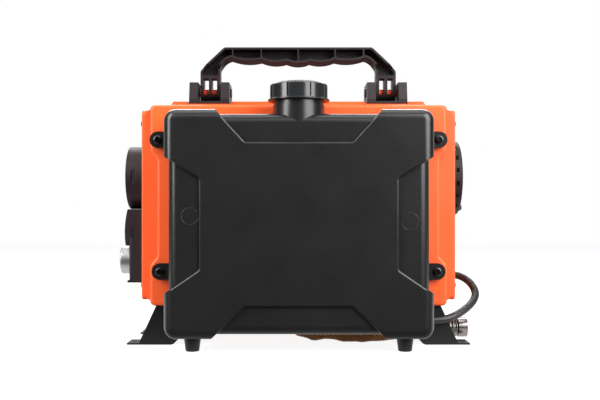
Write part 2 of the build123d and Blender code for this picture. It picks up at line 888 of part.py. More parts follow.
def leg_screws():
    screw = Rot(180, 0, 0) * button_screw(m5_radius, m5_head_radius, m5_head_height, screw_depth)
    places = [(side_x * x, side_y * leg_screw_y()) for x in leg_screw_places
              for side_x in (-1, 1) for side_y in (-1, 1)]
    return group(Pos(x, y, slab_bottom - sheet) * screw for x, y in places)


# ---- Left end ----

def outlet_collar():
    # Drawn on the right and mirrored over, as are the other pieces of this end
    tube = rod_x(collar_radius, heater_half_length, collar_face, 0, heater_axis)
    tube = fillet(tube.edges().group_by(Axis.X)[-1], collar_round)
    flange = rod_x(collar_flange, body_half_width - 2, body_half_width, 0, heater_axis)
    bore = rod_x(collar_bore - 2, heater_half_length - 1, collar_face + 1, 0, heater_axis)
    seat = rod_x(collar_bore, collar_face - louvre_depth, collar_face + 1, 0, heater_axis)
    collar = tube + flange - bore - seat
    middle = collar_face - collar_recess_inset
    recess = box_between(middle - collar_recess_width / 2, middle + collar_recess_width / 2,
                         -collar_radius - 1, collar_recess_depth - collar_radius,
                         heater_axis - collar_recess_height / 2, heater_axis + collar_recess_height / 2)
    return mirrored_x(collar - recess - mirrored_y(recess))


def outlet_louvre():
    radius = collar_bore - piece_gap
    back = collar_face - louvre_depth + piece_gap
    dome = dome_radius(radius, louvre_bulge)
    envelope = rod_x(radius, back, collar_face + louvre_bulge + 1, 0, heater_axis)
    envelope = envelope & (Pos(collar_face + louvre_bulge - dome, 0, heater_axis) * Sphere(dome))
    ring = envelope - rod_x(radius - 3, back - 1, collar_face + louvre_bulge + 2, 0, heater_axis)
    middle = back + louvre_depth / 2
    blades = []
    for number in range(louvre_blades):
        height = (number - (louvre_blades - 1) / 2) * blade_spacing
        blade = Box(louvre_depth + 8, 2 * radius, blade_thickness)
        blades.append(Pos(middle, 0, heater_axis + height) * Rot(0, blade_tilt, 0) * blade)
    bar = box_between(back + 3, back + 6, -2, 2, heater_axis - radius + 1, heater_axis + radius - 1)
    louvre = ring + bar
    inner = envelope & rod_x(radius - 1, back + 1, collar_face + louvre_bulge + 2, 0, heater_axis)
    for blade in blades:
        louvre = louvre + (blade & inner)
    return mirrored_x(louvre)


def pod_profile(inset):
    # Side outline of the display hood: a convex face that ends in a flat cut
    face = hood_face - inset
    shoulder = hood_shoulder - inset
    middle = (hood_low + hood_high) / 2
    base = panel_face
    low_in = (pod_face + piece_gap, hood_low)
    edges = [
        Line((base, 0, hood_high - inset), (shoulder, 0, hood_high - inset)),
        ThreePointArc((shoulder, 0, hood_high - inset), (face + hood_bow, 0, middle + 2),
                      (face, 0, hood_low)),
        Line((face, 0, hood_low), (low_in[0], 0, low_in[1])),
        Line((low_in[0], 0, low_in[1]), (low_in[0], 0, pod_high)),
        Line((low_in[0], 0, pod_high), (base, 0, pod_high)),
        Line((base, 0, pod_high), (base, 0, hood_high - inset)),
    ]
    return make_face(edges)


def display_hood():
    solid = extrude(pod_profile(0), amount=hood_half_width, both=True, dir=(0, 1, 0))
    room = box_between(panel_face - 1, hood_shoulder - 4,
                       pod_wall - hood_half_width, hood_half_width - pod_wall,
                       pod_high - 1, hood_high - pod_wall)
    hood = solid - room
    for number in range(vent_count):
        z = pod_high + vent_pitch * (number + 1)
        notch = box_between(vent_inner, vent_outer, hood_half_width - vent_depth,
                            hood_half_width + 1, z, z + vent_pitch / 2)
        hood = hood - notch - mirrored_y(notch)
    return mirrored_x(hood - lens_shape())


def lens_shape():
    outside = extrude(pod_profile(0), amount=lens_half_width, both=True, dir=(0, 1, 0))
    inside = extrude(pod_profile(lens_thickness), amount=lens_half_width + 1, both=True, dir=(0, 1, 0))
    window = box_between(hood_shoulder, hood_face + 1, -lens_half_width, lens_half_width,
                         lens_low, lens_high)
    return (outside - inside) & window


def display_lens():
    return mirrored_x(lens_shape())


def control_pod():
    base = panel_face
    outer = box_between(base, pod_face, -pod_half_width, pod_half_width, pod_low, pod_high)
    outer = fillet(outer.edges().filter_by(Axis.Z), pod_corner)
    lip = box_between(base, pod_face + pod_lip, -pod_half_width, pod_half_width,
                      pod_low, pod_low + pod_lip_height)
    lip = fillet(lip.edges().filter_by(Axis.Z), pod_corner)
    room = box_between(base - 1, pod_face - pod_wall, pod_wall - pod_half_width,
                       pod_half_width - pod_wall, pod_low + pod_wall, pod_high - pod_wall)
    pod = outer + lip - room
    for y, z in board_posts():
        pod = pod + rod_x(post_radius, board_face, pod_face - pod_wall / 2, y, z)
    pod = pod - rod_x(encoder_shaft_radius + piece_gap, pod_face - pod_wall - 1, pod_face + 1,
                      0, knob_height)
    return mirrored_x(pod)


def board_posts():
    y = pod_half_width - post_inset
    return [(side * y, z) for side in (-1, 1) for z in (pod_low + post_inset, pod_high - post_inset)]


def controller_board():
    board = box_between(board_face - board_thickness, board_face, board_margin - pod_half_width,
                        pod_half_width - board_margin, pod_low + board_margin, pod_high - board_margin)
    board = board - rod_x(encoder_shaft_radius + 0.6, board_face - 5, board_face + 1, 0, knob_height)
    chip = box_between(board_face - board_thickness - 2, board_face - board_thickness, 8, 20,
                       pod_low + 10, pod_low + 22)
    plug = box_between(board_face - board_thickness - 6, board_face - board_thickness, loom_y - 5,
                       loom_y + 5, loom_z - 4, loom_z + 4)
    return mirrored_x(board + chip + plug)


def encoder_body():
    body = box_between(board_face, pod_face - pod_wall, -encoder_half, encoder_half,
                       knob_height - encoder_half, knob_height + encoder_half)
    bore = rod_x(encoder_shaft_radius + running_gap, board_face - 1, pod_face, 0, knob_height)
    return mirrored_x(body - bore)


def encoder_shaft():
    return mirrored_x(rod_x(encoder_shaft_radius, board_face - 1, knob_face - knob_cap, 0, knob_height))


def control_knob():
    back = pod_face + knob_travel + piece_gap
    knob = rod_x(knob_radius, back, knob_face, 0, knob_height)
    knob = fillet(knob.edges().group_by(Axis.X)[-1], knob_edge)
    knob = chamfer(knob.edges().group_by(Axis.X)[0], 0.6)
    dish = rod_x(knob_radius - 4, knob_face - 0.5, knob_face + 1, 0, knob_height)
    bore = rod_x(encoder_shaft_radius + running_gap, back - 1, knob_face - knob_cap + running_gap,
                 0, knob_height)
    return mirrored_x(knob - dish - bore)


# ---- Right end ----

def dome_radius(half_width, rise):
    return (half_width ** 2 + rise ** 2) / (2 * rise)


def intake_grille():
    # A dished cover and the duct behind it, as one turned section, with ring slots and spokes
    base = panel_face
    dome = dome_radius(grille_radius, grille_face - grille_rim)
    inner_rim = grille_radius - grille_shell
    inner_dome = dome_radius(inner_rim, grille_face - grille_rim)

    def place(x, radius):
        return (x, 0, heater_axis + radius)

    def arc_middle(face, radius, half_width):
        middle = half_width / 2
        return place(face - radius + sqrt(radius ** 2 - middle ** 2), middle)

    corners = [
        place(grille_face - grille_shell, 0),
        place(grille_face, 0),
    ]
    back = [
        place(grille_rim, grille_radius - grille_edge),
        place(grille_rim - grille_edge, grille_radius),
        place(base, grille_radius),
        place(base, grille_duct_radius),
        place(heater_half_length, grille_duct_radius),
        place(heater_half_length, grille_duct_bore),
        place(base + 2, grille_duct_bore),
        place(base + 2, inner_rim),
        place(grille_rim - grille_shell, inner_rim),
    ]
    edges = Polyline(*corners).edges() + Polyline(*back).edges()
    edges += ThreePointArc(corners[1], arc_middle(grille_face, dome, grille_radius), back[0]).edges()
    edges += ThreePointArc(corners[0], arc_middle(grille_face - grille_shell, inner_dome, inner_rim),
                           back[-1]).edges()
    grille = revolve(make_face(edges), axis=Axis((0, 0, heater_axis), (1, 0, 0)))
    for inner, outer in grille_slots:
        ring = rod_x(outer, base + 2.5, grille_face + 2, 0, heater_axis)
        ring = ring - rod_x(inner, base + 2, grille_face + 3, 0, heater_axis)
        for number in range(grille_spokes // 2):
            spoke = Box(60, 2 * grille_radius, spoke_width)
            angle = 180 / (grille_spokes // 2) * number + 22.5
            ring = ring - Pos(grille_face, 0, heater_axis) * Rot(angle, 0, 0) * spoke
        grille = grille - ring
    for number in range(rim_slots):
        slot = box_between(base + rim_slot_low, base + rim_slot_high, -rim_slot_width / 2,
                           rim_slot_width / 2, inner_rim - 1, grille_radius + 1)
        grille = grille - Pos(0, 0, heater_axis) * Rot(360 / rim_slots * number, 0, 0) * slot
    return grille


# ---- Heater ----

def heater_casing_half(upper):
    points = [
        (-heater_half_width, heater_bottom),
        (heater_half_width, heater_bottom),
        (heater_half_width, heater_top),
        (-heater_half_width, heater_top),
    ]
    inner_points = [
        (wall - heater_half_width, heater_bottom + wall),
        (heater_half_width - wall, heater_bottom + wall),
        (heater_half_width - wall, heater_top - wall),
        (wall - heater_half_width, heater_top - wall),
    ]
    casing = prism_x(points, -heater_half_length, heater_half_length, heater_corner)
    casing = casing - prism_x(inner_points, wall - heater_half_length, heater_half_length - wall,
                              heater_corner - wall)
    casing = casing - rod_x(collar_bore - 2, -heater_half_length - 1, 0, 0, heater_axis)
    casing = casing - rod_x(inlet_bore, 0, heater_half_length + 1, 0, heater_axis)
    big = 2 * heater_half_width
    if upper:
        half = box_between(-heater_half_length, heater_half_length, -big, big, heater_axis, heater_top)
        return casing & half
    half = box_between(-heater_half_length, heater_half_length, -big, big, heater_bottom, heater_axis)
    casing = casing & half
    return casing - port_holes(heater_bottom - 1, heater_bottom + wall + 1)


def port_holes(z0, z1):
    # Holes for the exhaust stub, the combustion air stub and the fuel inlet
    exhaust = rod_z(exhaust_stub_radius + piece_gap, exhaust_x, exhaust_y, z0, z1)
    air = rod_z(air_stub_radius + piece_gap, air_x, exhaust_y, z0, z1)
    fuel = rod_z(inner_line_radius + piece_gap, inlet_fitting_x, inlet_fitting_y, z0, z1)
    return exhaust + air + fuel


def heater_gasket():
    plate = box_between(exhaust_x - 30, air_x + 25, exhaust_y - 22, inlet_fitting_y + 15,
                        frame_top, heater_bottom)
    return plate - port_holes(frame_top - 1, heater_bottom + 1)


def heat_exchanger():
    body = rod_x(exchanger_radius, exchanger_left, exchanger_right, 0, heater_axis)
    body = fillet(body.edges().group_by(Axis.X)[0], exchanger_round)
    for number in range(fin_count):
        angle = 360 / fin_count * (number + 0.5)
        fin = Pos(0, (fin_radius + exchanger_radius - 2) / 2, 0) * Box(
            exchanger_right - exchanger_left - 30, fin_radius - exchanger_radius + 2, fin_thickness)
        middle = (exchanger_left + exchanger_right) / 2
        body = body + Pos(middle, 0, heater_axis) * Rot(angle, 0, 0) * fin
    pad = box_between(exhaust_x - 22, exchanger_right, exhaust_y - 8, -exhaust_y,
                      heater_bottom + wall, heater_axis - 25)
    body = body + pad
    body = body + rod_z(8, plug_x, 0, heater_axis + 30, heater_axis + exchanger_radius + 4)
    body = body + box_between(sensor_x - 12, sensor_x + 12, -5, 5, heater_axis + 30,
                              heater_axis + exchanger_radius + 2)
    body = body - rod_x(exchanger_radius - exchanger_wall, exchanger_left + exchanger_wall,
                        exchanger_right + 1, 0, heater_axis)
    body = body + rod_z(exhaust_stub_radius, exhaust_x, exhaust_y, exhaust_stub_low, heater_bottom + wall + 1)
    body = body - rod_z(exhaust_stub_radius - 2, exhaust_x, exhaust_y, exhaust_stub_low - 1, heater_axis - 20)
    return body - rod_z(4 + running_gap, plug_x, 0, heater_axis + 20, heater_axis + exchanger_radius + 5)


def burner_tube():
    flange = rod_x(exchanger_radius, exchanger_right, exchanger_right + plate_thickness, 0, heater_axis)
    tube = rod_x(burner_radius, exchanger_right - burner_length, exchanger_right + 1, 0, heater_axis)
    tube = tube - rod_x(burner_radius - burner_wall, exchanger_right - burner_length - 1,
                        exchanger_right, 0, heater_axis)
    tube = tube - rod_z(4.6, plug_x, 0, heater_axis, heater_axis + exchanger_radius)
    fitting = rod_z(inner_line_radius - 0.4, inlet_fitting_x, inlet_fitting_y, inlet_fitting_low,
                    heater_axis - 25)
    return flange + tube + fitting


def glow_plug():
    low = heater_axis + 21
    seat = heater_axis + exchanger_radius + 4
    plug = rod_z(4, plug_x, 0, low, seat)
    head = Pos(plug_x, 0, seat) * extrude(RegularPolygon(6, 6), amount=5)
    return plug + head + rod_z(2, plug_x, 0, seat + 4, seat + 9)


def overheat_sensor():
    low = heater_axis + exchanger_radius + 2
    return box_between(sensor_x - 10, sensor_x + 10, -4, 4, low, low + 4)


def blower_housing():
    left = exchanger_right + plate_thickness
    right = left + blower_length
    cup = rod_x(exchanger_radius, left, right, 0, heater_axis)
    cup = cup - rod_x(exchanger_radius - wall, left + wall, right + 1, 0, heater_axis)
    cup = cup - rod_x(10, left - 1, left + wall + 1, 0, heater_axis)
    stub = rod_z(air_stub_radius, air_x, exhaust_y, air_stub_low, heater_axis - 28)
    stub = stub - rod_z(air_stub_radius - 1.5, air_x, exhaust_y, air_stub_low - 1, heater_axis - 27)
    stub = stub - rod_x(exchanger_radius - wall, left, right, 0, heater_axis)
    return cup + stub - rod_z(air_stub_radius - 1.5, air_x, exhaust_y, air_stub_low - 1, heater_axis - 20)


def motor_left():
    return exchanger_right + plate_thickness + blower_length + plate_thickness


def motor_plate():
    plate = rod_x(exchanger_radius, motor_left() - plate_thickness, motor_left(), 0, heater_axis)
    return plate - rod_x(rotor_radius + 1, motor_left() - plate_thickness - 1, motor_left() + 1,
                         0, heater_axis)


def blower_motor():
    left = motor_left()
    right = left + motor_length
    can = rod_x(motor_radius, left, right, 0, heater_axis)
    can = fillet(can.edges().group_by(Axis.X)[-1], 2)
    can = can - rod_x(motor_radius - 2, left + 6, right - 6, 0, heater_axis)
    return can - rod_x(bearing_radius + running_gap, left - 1, right + 1, 0, heater_axis)


def motor_bearings():
    left = motor_left()
    right = left + motor_length
    rings = []
    for x0, x1 in ((left, left + bearing_width), (right - bearing_width, right)):
        ring = rod_x(bearing_radius, x0, x1, 0, heater_axis)
        rings.append(ring - rod_x(rotor_radius + running_gap, x0 - 1, x1 + 1, 0, heater_axis))
    return group(rings)


def rotor_shaft():
    return rod_x(rotor_radius, impeller_left(), fan_left + fan_length + 4, 0, heater_axis)


def impeller_left():
    return exchanger_right + plate_thickness + wall + 5


def combustion_impeller():
    left = impeller_left()
    disc = rod_x(impeller_radius, left, left + 2, 0, heater_axis)
    hub = rod_x(8, left, left + 16, 0, heater_axis)
    wheel = disc + hub
    length = impeller_radius - 10
    for number in range(impeller_blades):
        blade = Pos(0, 10 + length / 2, 0) * Box(12, length, 1.2)
        wheel = wheel + Pos(left + 7, 0, heater_axis) * Rot(360 / impeller_blades * number, 0, 0) * blade
        rib = Pos(0, 8, 0) * Box(8, 6, 1.2)
        wheel = wheel + Pos(left + 5, 0, heater_axis) * Rot(360 / impeller_blades * number, 0, 0) * rib
    return wheel - rod_x(rotor_radius + running_gap / 2, left - 1, left + 17, 0, heater_axis)


def fan_wheel():
    hub = rod_x(fan_hub_radius, fan_left, fan_left + fan_length, 0, heater_axis)
    hub = fillet(hub.edges().group_by(Axis.X)[-1], 5)
    wheel = hub
    inner = fan_hub_radius - 2
    length = fan_radius - inner
    for number in range(fan_blades):
        blade = Rot(0, fan_blade_turn, 0) * Box(fan_length - 4, length, blade_thickness)
        blade = Pos(0, inner + length / 2, 0) * blade
        place = Pos(fan_left + fan_length / 2, 0, heater_axis)
        wheel = wheel + place * Rot(360 / fan_blades * number, 0, 0) * blade
    return wheel - rod_x(rotor_radius + running_gap / 2, fan_left - 1, fan_left + fan_length + 1,
                         0, heater_axis)


def combustion_air_pipe():
    # A tube pushed over the air stub, standing on the case floor
    floor = body_bottom + wall
    inner = air_stub_radius + running_gap
    pipe = rod_z(inner + 2, air_x, exhaust_y, floor, air_stub_low + 10)
    return pipe - rod_z(inner, air_x, exhaust_y, floor - 1, air_stub_low + 11)


def frame_screw_places():
    x = frame_half_length + frame_foot / 2
    return [(side_x * x, side_y * frame_screw_y) for side_x in (-1, 1) for side_y in (-1, 1)]


def inner_frame():
    floor = body_bottom + wall
    top = box_between(-frame_half_length, frame_half_length, -frame_half_width, frame_half_width,
                      frame_top - sheet, frame_top)
    upright = box_between(frame_half_length - sheet, frame_half_length, -frame_half_width,
                          frame_half_width, floor, frame_top)
    foot = box_between(frame_half_length - sheet, frame_half_length + frame_foot, -frame_half_width,
                       frame_half_width, floor, floor + sheet)
    window = box_between(frame_half_length - sheet - 1, frame_half_length + 1,
                         line_y - window_half_width, line_y + window_half_width,
                         floor + sheet + 4, line_z + window_half_width)
    side = upright + foot - window
    frame = top + side + mirrored_x(side) - port_holes(frame_top - sheet - 1, frame_top + 1)
    for x, y in frame_screw_places():
        frame = frame - rod_z(m4_radius + running_gap, x, y, floor - 1, floor + sheet + 1)
    return frame


def frame_screws():
    floor = body_bottom + wall
    screw = button_screw(m4_radius, m4_head_radius, m4_head_height, sheet + wall)
    return [Pos(x, y, floor + sheet) * screw for x, y in frame_screw_places()]


# ---- Fuel line ----

def tank_outlet():
    base = rod_y(outlet_base_radius, outlet_x, tank_back, tank_back + 2, outlet_z)
    stem = rod_y(outlet_stem_radius, outlet_x, tank_back, outlet_y, outlet_z)
    spigot = rod_y(outlet_bore - running_gap, outlet_x, tank_back - tank_wall - 4, tank_back, outlet_z)
    corner = Pos(outlet_x, outlet_y, outlet_z) * Sphere(outlet_stem_radius)
    barb = rod_x(hose_bore - running_gap, outlet_x, outlet_x + 22, outlet_y, outlet_z)
    return base + stem + spigot + corner + barb


def arc_radii(points):
    # The largest arc at each inner point that leaves its two runs free of the next arc
    radii = []
    for before, here, after in zip(points, points[1:], points[2:]):
        first = Vector(*here) - Vector(*before)
        second = Vector(*after) - Vector(*here)
        half_turn = radians(first.get_angle(second)) / 2
        radii.append(0.45 * min(first.length, second.length) / tan(half_turn))
    return radii


def route(points):
    radii = arc_radii(points)
    print("arc radii:", [round(radius, 1) for radius in radii])
    return FilletPolyline(*points, radius=radii)


def tube_along(path, radius, bore):
    start = Plane(origin=path @ 0, z_dir=path % 0)
    ring = start * Circle(radius)
    if bore > 0:
        ring = ring - start * Circle(bore)
    tube = sweep(ring, path=path)
    expected = pi * (radius ** 2 - bore ** 2) * path.length
    print("tube volume / section times length:", round(tube.volume / expected, 4))
    return tube


hose_points = [
    (filter_right + 2.5, line_y, line_z),
    (filter_right + 23.0, line_y, line_z),
    (filter_right + 34.0, line_y - 8.0, line_z - 4.0),
    (filter_right + 41.5, line_y - 20.0, line_z - 11.5),
    (filter_right + 44.5, line_y - 34.0, line_z - 22.5),
    (outlet_x + 90.0, outlet_y + 29.5, outlet_z + 19.5),
    (outlet_x + 74.0, outlet_y + 13.5, outlet_z + 10.0),
    (outlet_x + 56.0, outlet_y + 2.0, outlet_z + 2.5),
    (outlet_x + 35.0, outlet_y, outlet_z),
    (outlet_x + 7.0, outlet_y, outlet_z),
]


def fuel_hose():
    return tube_along(route(hose_points), hose_radius, hose_bore)


def hose_grommet():
    face = panel_face
    neck = rod_x(grommet_neck_radius - running_gap, body_half_width, face, line_y, line_z)
    collar = rod_x(grommet_neck_radius + 3, face, face + 2.5, line_y, line_z)
    collar = fillet(collar.edges().group_by(Axis.X)[-1], 1.0)
    return neck + collar - rod_x(hose_radius + piece_gap, body_half_width - 1, face + 4, line_y, line_z)


def hose_clips():
    clips = []
    for x, y, z in ((outlet_x + 12, outlet_y, outlet_z), (body_half_width - 3.0, line_y, line_z)):
        ring = Cylinder(hose_radius + 1.3, 5) - Cylinder(hose_radius + piece_gap, 6)
        ears = Pos(hose_radius + 3, 0, 0) * Box(5, 3, 5) - Pos(hose_radius + 3, 0, 0) * Box(6, 0.8, 6)
        clip = Rot(0, 90, 0) * Rot(0, 0, 180) * (ring + ears)
        clips.append(Pos(x, y, z) * clip)
    return clips


def fuel_filter():
    body = rod_x(filter_radius, filter_left, filter_right, line_y, line_z)
    body = fillet(body.edges(), 2)
    left = rod_x(pump_stub_radius, filter_left - 6, filter_left + 1, line_y, line_z)
    right = rod_x(hose_bore - running_gap, filter_right - 1, panel_face, line_y, line_z)
    return body + left + right


def fuel_pump():
    body = rod_x(pump_radius, pump_left, pump_right, line_y, line_z)
    body = fillet(body.edges(), 2)
    inlet = rod_x(pump_stub_radius, pump_right - 1, filter_left - 6, line_y, line_z)
    outlet = rod_x(pump_stub_radius, pump_left - 10, pump_left + 1, line_y, line_z)
    chamber = rod_x(plunger_radius + running_gap, pump_left + 12, pump_right - 8, line_y, line_z)
    return body + inlet + outlet - chamber


def pump_plunger():
    left = pump_left + 16
    right = pump_right - 8 - plunger_stroke - 3
    return rod_x(plunger_radius, left, right, line_y, line_z)


def fuel_coupling():
    # Short rubber tube over the pump's inlet and the filter's outlet
    tube = rod_x(5.2, pump_right + 2, filter_left - 1, line_y, line_z)
    return tube - rod_x(pump_stub_radius + running_gap, pump_right, filter_left, line_y, line_z)


def pump_bracket():
    floor = body_bottom + wall
    left = pump_bracket_x - pump_bracket_half
    right = pump_bracket_x + pump_bracket_half
    ring = rod_x(pump_radius + wall, left, right, line_y, line_z)
    stem = box_between(left, right, line_y - wall, line_y + wall, floor, line_z)
    foot = box_between(left, right, line_y - pump_radius - 2, line_y + pump_radius + 2, floor,
                       floor + wall)
    bore = rod_x(pump_radius + running_gap, left - 1, right + 1, line_y, line_z)
    return ring + stem + foot - bore


inner_line_points = [
    (inlet_fitting_x, inlet_fitting_y, inlet_fitting_low),
    (inlet_fitting_x, inlet_fitting_y, (inlet_fitting_low + line_z) / 2),
    (inlet_fitting_x + 15.0, line_y + 9.0, line_z + 7.0),
    (pump_left - 42.0, line_y, line_z),
    (pump_left - 10.0, line_y, line_z),
]


def inner_fuel_line():
    return tube_along(route(inner_line_points), inner_line_radius, 0)


# ---- Exhaust ----

exhaust_points = [
    (exhaust_x, exhaust_y, pipe_top),
    (exhaust_x, exhaust_y, pipe_height),
    (exhaust_x + 44.0, exhaust_y - 29.0, pipe_height),
    (exhaust_x + 100.0, exhaust_y - 20.0, pipe_height),
    (sleeve_end, exhaust_y + 3.0, pipe_height),
    (pipe_end, exhaust_y + 3.0, pipe_height),
]
exhaust_bends = [27.0, 60.0, 150.0, 120.0]


def exhaust_path():
    return FilletPolyline(*exhaust_points, radius=exhaust_bends)


def exhaust_pipe():
    # Corrugated pipe: each rib is a pair of cones and two short straights, with smooth cuffs
    path = exhaust_path()
    length = path.length
    flare = 0.2 * rib_pitch
    ribs = int((length - 2 * (cuff_length + flare)) / rib_pitch)
    first = (length - ribs * rib_pitch) / 2
    rings = [(0.0, cuff_radius), (first - flare, cuff_radius)]
    for number in range(ribs):
        start = first + number * rib_pitch
        rings.append((start, pipe_root))
        rings.append((start + 0.3 * rib_pitch, pipe_root))
        rings.append((start + 0.5 * rib_pitch, pipe_radius))
        rings.append((start + 0.8 * rib_pitch, pipe_radius))
    rings.append((length - first, pipe_root))
    rings.append((length - first + flare, cuff_radius))
    rings.append((length, cuff_radius))
    sections = []
    for distance, radius in rings:
        place = distance / length
        plane = Plane(origin=path @ place, x_dir=steady_axis(path, place), z_dir=path % place)
        sections.append(plane * Circle(radius))
    print("exhaust ribs:", ribs, "smooth cuff:", round(first - flare, 3))
    return loft(sections, ruled=True) - bore_along(path)


def steady_axis(path, place):
    # An axis square to the pipe that never turns round it
    forward = path % place
    return forward.cross(Vector(0.35, 0.94, 0.0)).normalized()


def bore_along(path):
    start = Plane(origin=path @ 0, z_dir=path % 0)
    return sweep(start * Circle(pipe_bore), path=path)


def exhaust_sleeve():
    # Heat sleeve over the bend and the long run
    path = exhaust_path()
    start = (exhaust_points[0][2] - sleeve_top) / path.length
    end = (path.length - (pipe_end - sleeve_end)) / path.length
    covered = path.trim(start, end)
    place = Plane(origin=covered @ 0, z_dir=covered % 0)
    ring = place * Circle(sleeve_radius) - place * Circle(pipe_radius + sleeve_gap)
    return sweep(ring, path=covered)


def exhaust_clamp():
    high = pipe_top - 2
    low = high - 8
    edge = exhaust_x + cuff_radius
    ring = rod_z(cuff_radius + sheet, exhaust_x, exhaust_y, low, high)
    ring = ring - rod_z(cuff_radius + piece_gap, exhaust_x, exhaust_y, low - 1, high + 1)
    ears = box_between(edge + 1, edge + 9, exhaust_y - 3, exhaust_y + 3, low, high)
    gap = box_between(edge - 1, edge + 10, exhaust_y - 0.7, exhaust_y + 0.7, low - 1, high + 1)
    return ring + ears - gap


def exhaust_hanger():
    # Strap round the pipe's free end, hung from the case
    y = exhaust_points[4][1]
    left = hanger_x - hanger_half
    right = hanger_x + hanger_half
    ring = rod_x(pipe_radius + sheet, left, right, y, pipe_height)
    stem = box_between(left, right, y - sheet / 2, y + sheet / 2, pipe_height + pipe_radius + 1,
                       body_bottom)
    foot = box_between(left, right, y - 9, y + 9, body_bottom - sheet, body_bottom)
    bore = rod_x(pipe_radius + piece_gap, left - 1, right + 1, y, pipe_height)
    return ring + stem + foot - bore


# ---- Electrical ----

def power_inlet():
    face = panel_face
    half_width = power_half_width - piece_gap
    half_height = power_half_height - piece_gap
    body = box_between(body_half_width - 10, face + 0.5, power_y - half_width, power_y + half_width,
                       power_z - half_height, power_z + half_height)
    rim_box = box_between(face, face + 2, power_y - power_half_width - 2, power_y + power_half_width + 2,
                          power_z - power_half_height - 2, power_z + power_half_height + 2)
    inlet = body + rim_box
    for side in (-1, 1):
        inlet = inlet - rod_x(3, face - 8, face + 3, power_y + side * 4.2, power_z)
        inlet = inlet + rod_x(1.4, face - 9, face, power_y + side * 4.2, power_z)
    return inlet


def heater_control_board():
    floor = body_bottom + wall
    low = floor + control_height
    board = box_between(control_left, control_right, control_y0, control_y1, low, low + board_thickness)
    top = low + board_thickness
    chip = box_between(control_left + 25, control_left + 41, control_y0 + 12, control_y0 + 28,
                       top, top + 3)
    relay = box_between(control_right - 24, control_right - 6, control_y1 - 24, control_y1 - 6,
                        top, top + 14)
    plug = box_between(control_left, control_left + 10, loom_end_y - 6, loom_end_y + 6, top, top + 9)
    board = board + chip + relay + plug
    for x in (control_left + 4, control_right - 4):
        for y in (control_y0 + 4, control_y1 - 4):
            board = board + rod_z(post_radius, x, y, floor, low)
    return board


def wiring_loom():
    base = body_bottom + wall + control_height + board_thickness + 4.5
    behind = board_face - board_thickness - 6
    points = [
        (-behind, loom_y, loom_z),
        (12.0 - body_half_width, loom_y, loom_z),
        (27.0 - body_half_width, loom_y - 3, loom_z - 14),
        (42.0 - body_half_width, loom_end_y, base),
        (control_left, loom_end_y, base),
    ]
    return tube_along(route(points), loom_radius, 0)


# ---- Parts list ----

parts = {
    "rear_case_shell": shell(True),
    "front_case_shell": mirrored_y(shell(False)),
    "left_end_panel": left_end_panel(),
    "right_end_panel": right_end_panel(),
    "case_screws": case_screws(),
    "carry_handle": carry_handle(),
    "right_handle_bracket": handle_bracket(),
    "left_handle_bracket": mirrored_x(handle_bracket()),
    "hinge_pins": group([hinge_pin(), mirrored_x(hinge_pin())]),
    "bracket_screws": bracket_screws(),
    "fuel_tank": fuel_tank(),
    "tank_screws": tank_screws(),
    "tank_feet": tank_feet(),
    "filler_cap": filler_cap(),
    "cap_gasket": cap_gasket(),
    "tank_outlet": tank_outlet(),
    "fuel_hose": fuel_hose(),
    "hose_grommet": hose_grommet(),
    "pipe_clamps": group(hose_clips() + [exhaust_clamp()]),
    "rear_right_leg": leg(),
    "rear_left_leg": mirrored_x(leg()),
    "front_right_leg": mirrored_y(leg()),
    "front_left_leg": mirrored_x(mirrored_y(leg())),
    "leg_screws": leg_screws(),
    "outlet_collar": outlet_collar(),
    "outlet_louvre": outlet_louvre(),
    "control_pod": control_pod(),
    "display_hood": display_hood(),
    "display_lens": display_lens(),
    "controller_board": group([controller_board(), encoder_body()]),
    "encoder_shaft": encoder_shaft(),
    "control_knob": control_knob(),
    "intake_grille": intake_grille(),
    "heater_lower_casing": heater_casing_half(False),
    "heater_upper_casing": heater_casing_half(True),
    "heater_gasket": heater_gasket(),
    "heat_exchanger": heat_exchanger(),
    "burner_tube": burner_tube(),
    "glow_plug": glow_plug(),
    "overheat_sensor": overheat_sensor(),
    "blower_housing": blower_housing(),
    "motor_plate": motor_plate(),
    "blower_motor": blower_motor(),
    "motor_bearings": motor_bearings(),
    "rotor_shaft": rotor_shaft(),
    "combustion_impeller": combustion_impeller(),
    "fan_wheel": fan_wheel(),
    "combustion_air_pipe": combustion_air_pipe(),
    "inner_frame": inner_frame(),
    "fuel_filter": fuel_filter(),
    "fuel_pump": fuel_pump(),
    "pump_plunger": pump_plunger(),
    "pump_bracket": pump_bracket(),
    "inner_fuel_lines": group([inner_fuel_line(), fuel_coupling()]),
    "exhaust_pipe": exhaust_pipe(),
    "exhaust_sleeve": exhaust_sleeve(),
    "exhaust_hanger": exhaust_hanger(),
    "power_inlet": power_inlet(),
    "heater_control_board": heater_control_board(),
    "wiring_loom": wiring_loom(),
}

os.makedirs("parts", exist_ok=True)
for name, part in parts.items():
    export_step(part, f"parts/{name}.step")
print(len(parts), "nodes")
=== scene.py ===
import json
import math
import bmesh
import bpy
from mathutils import Matrix, Vector, noise


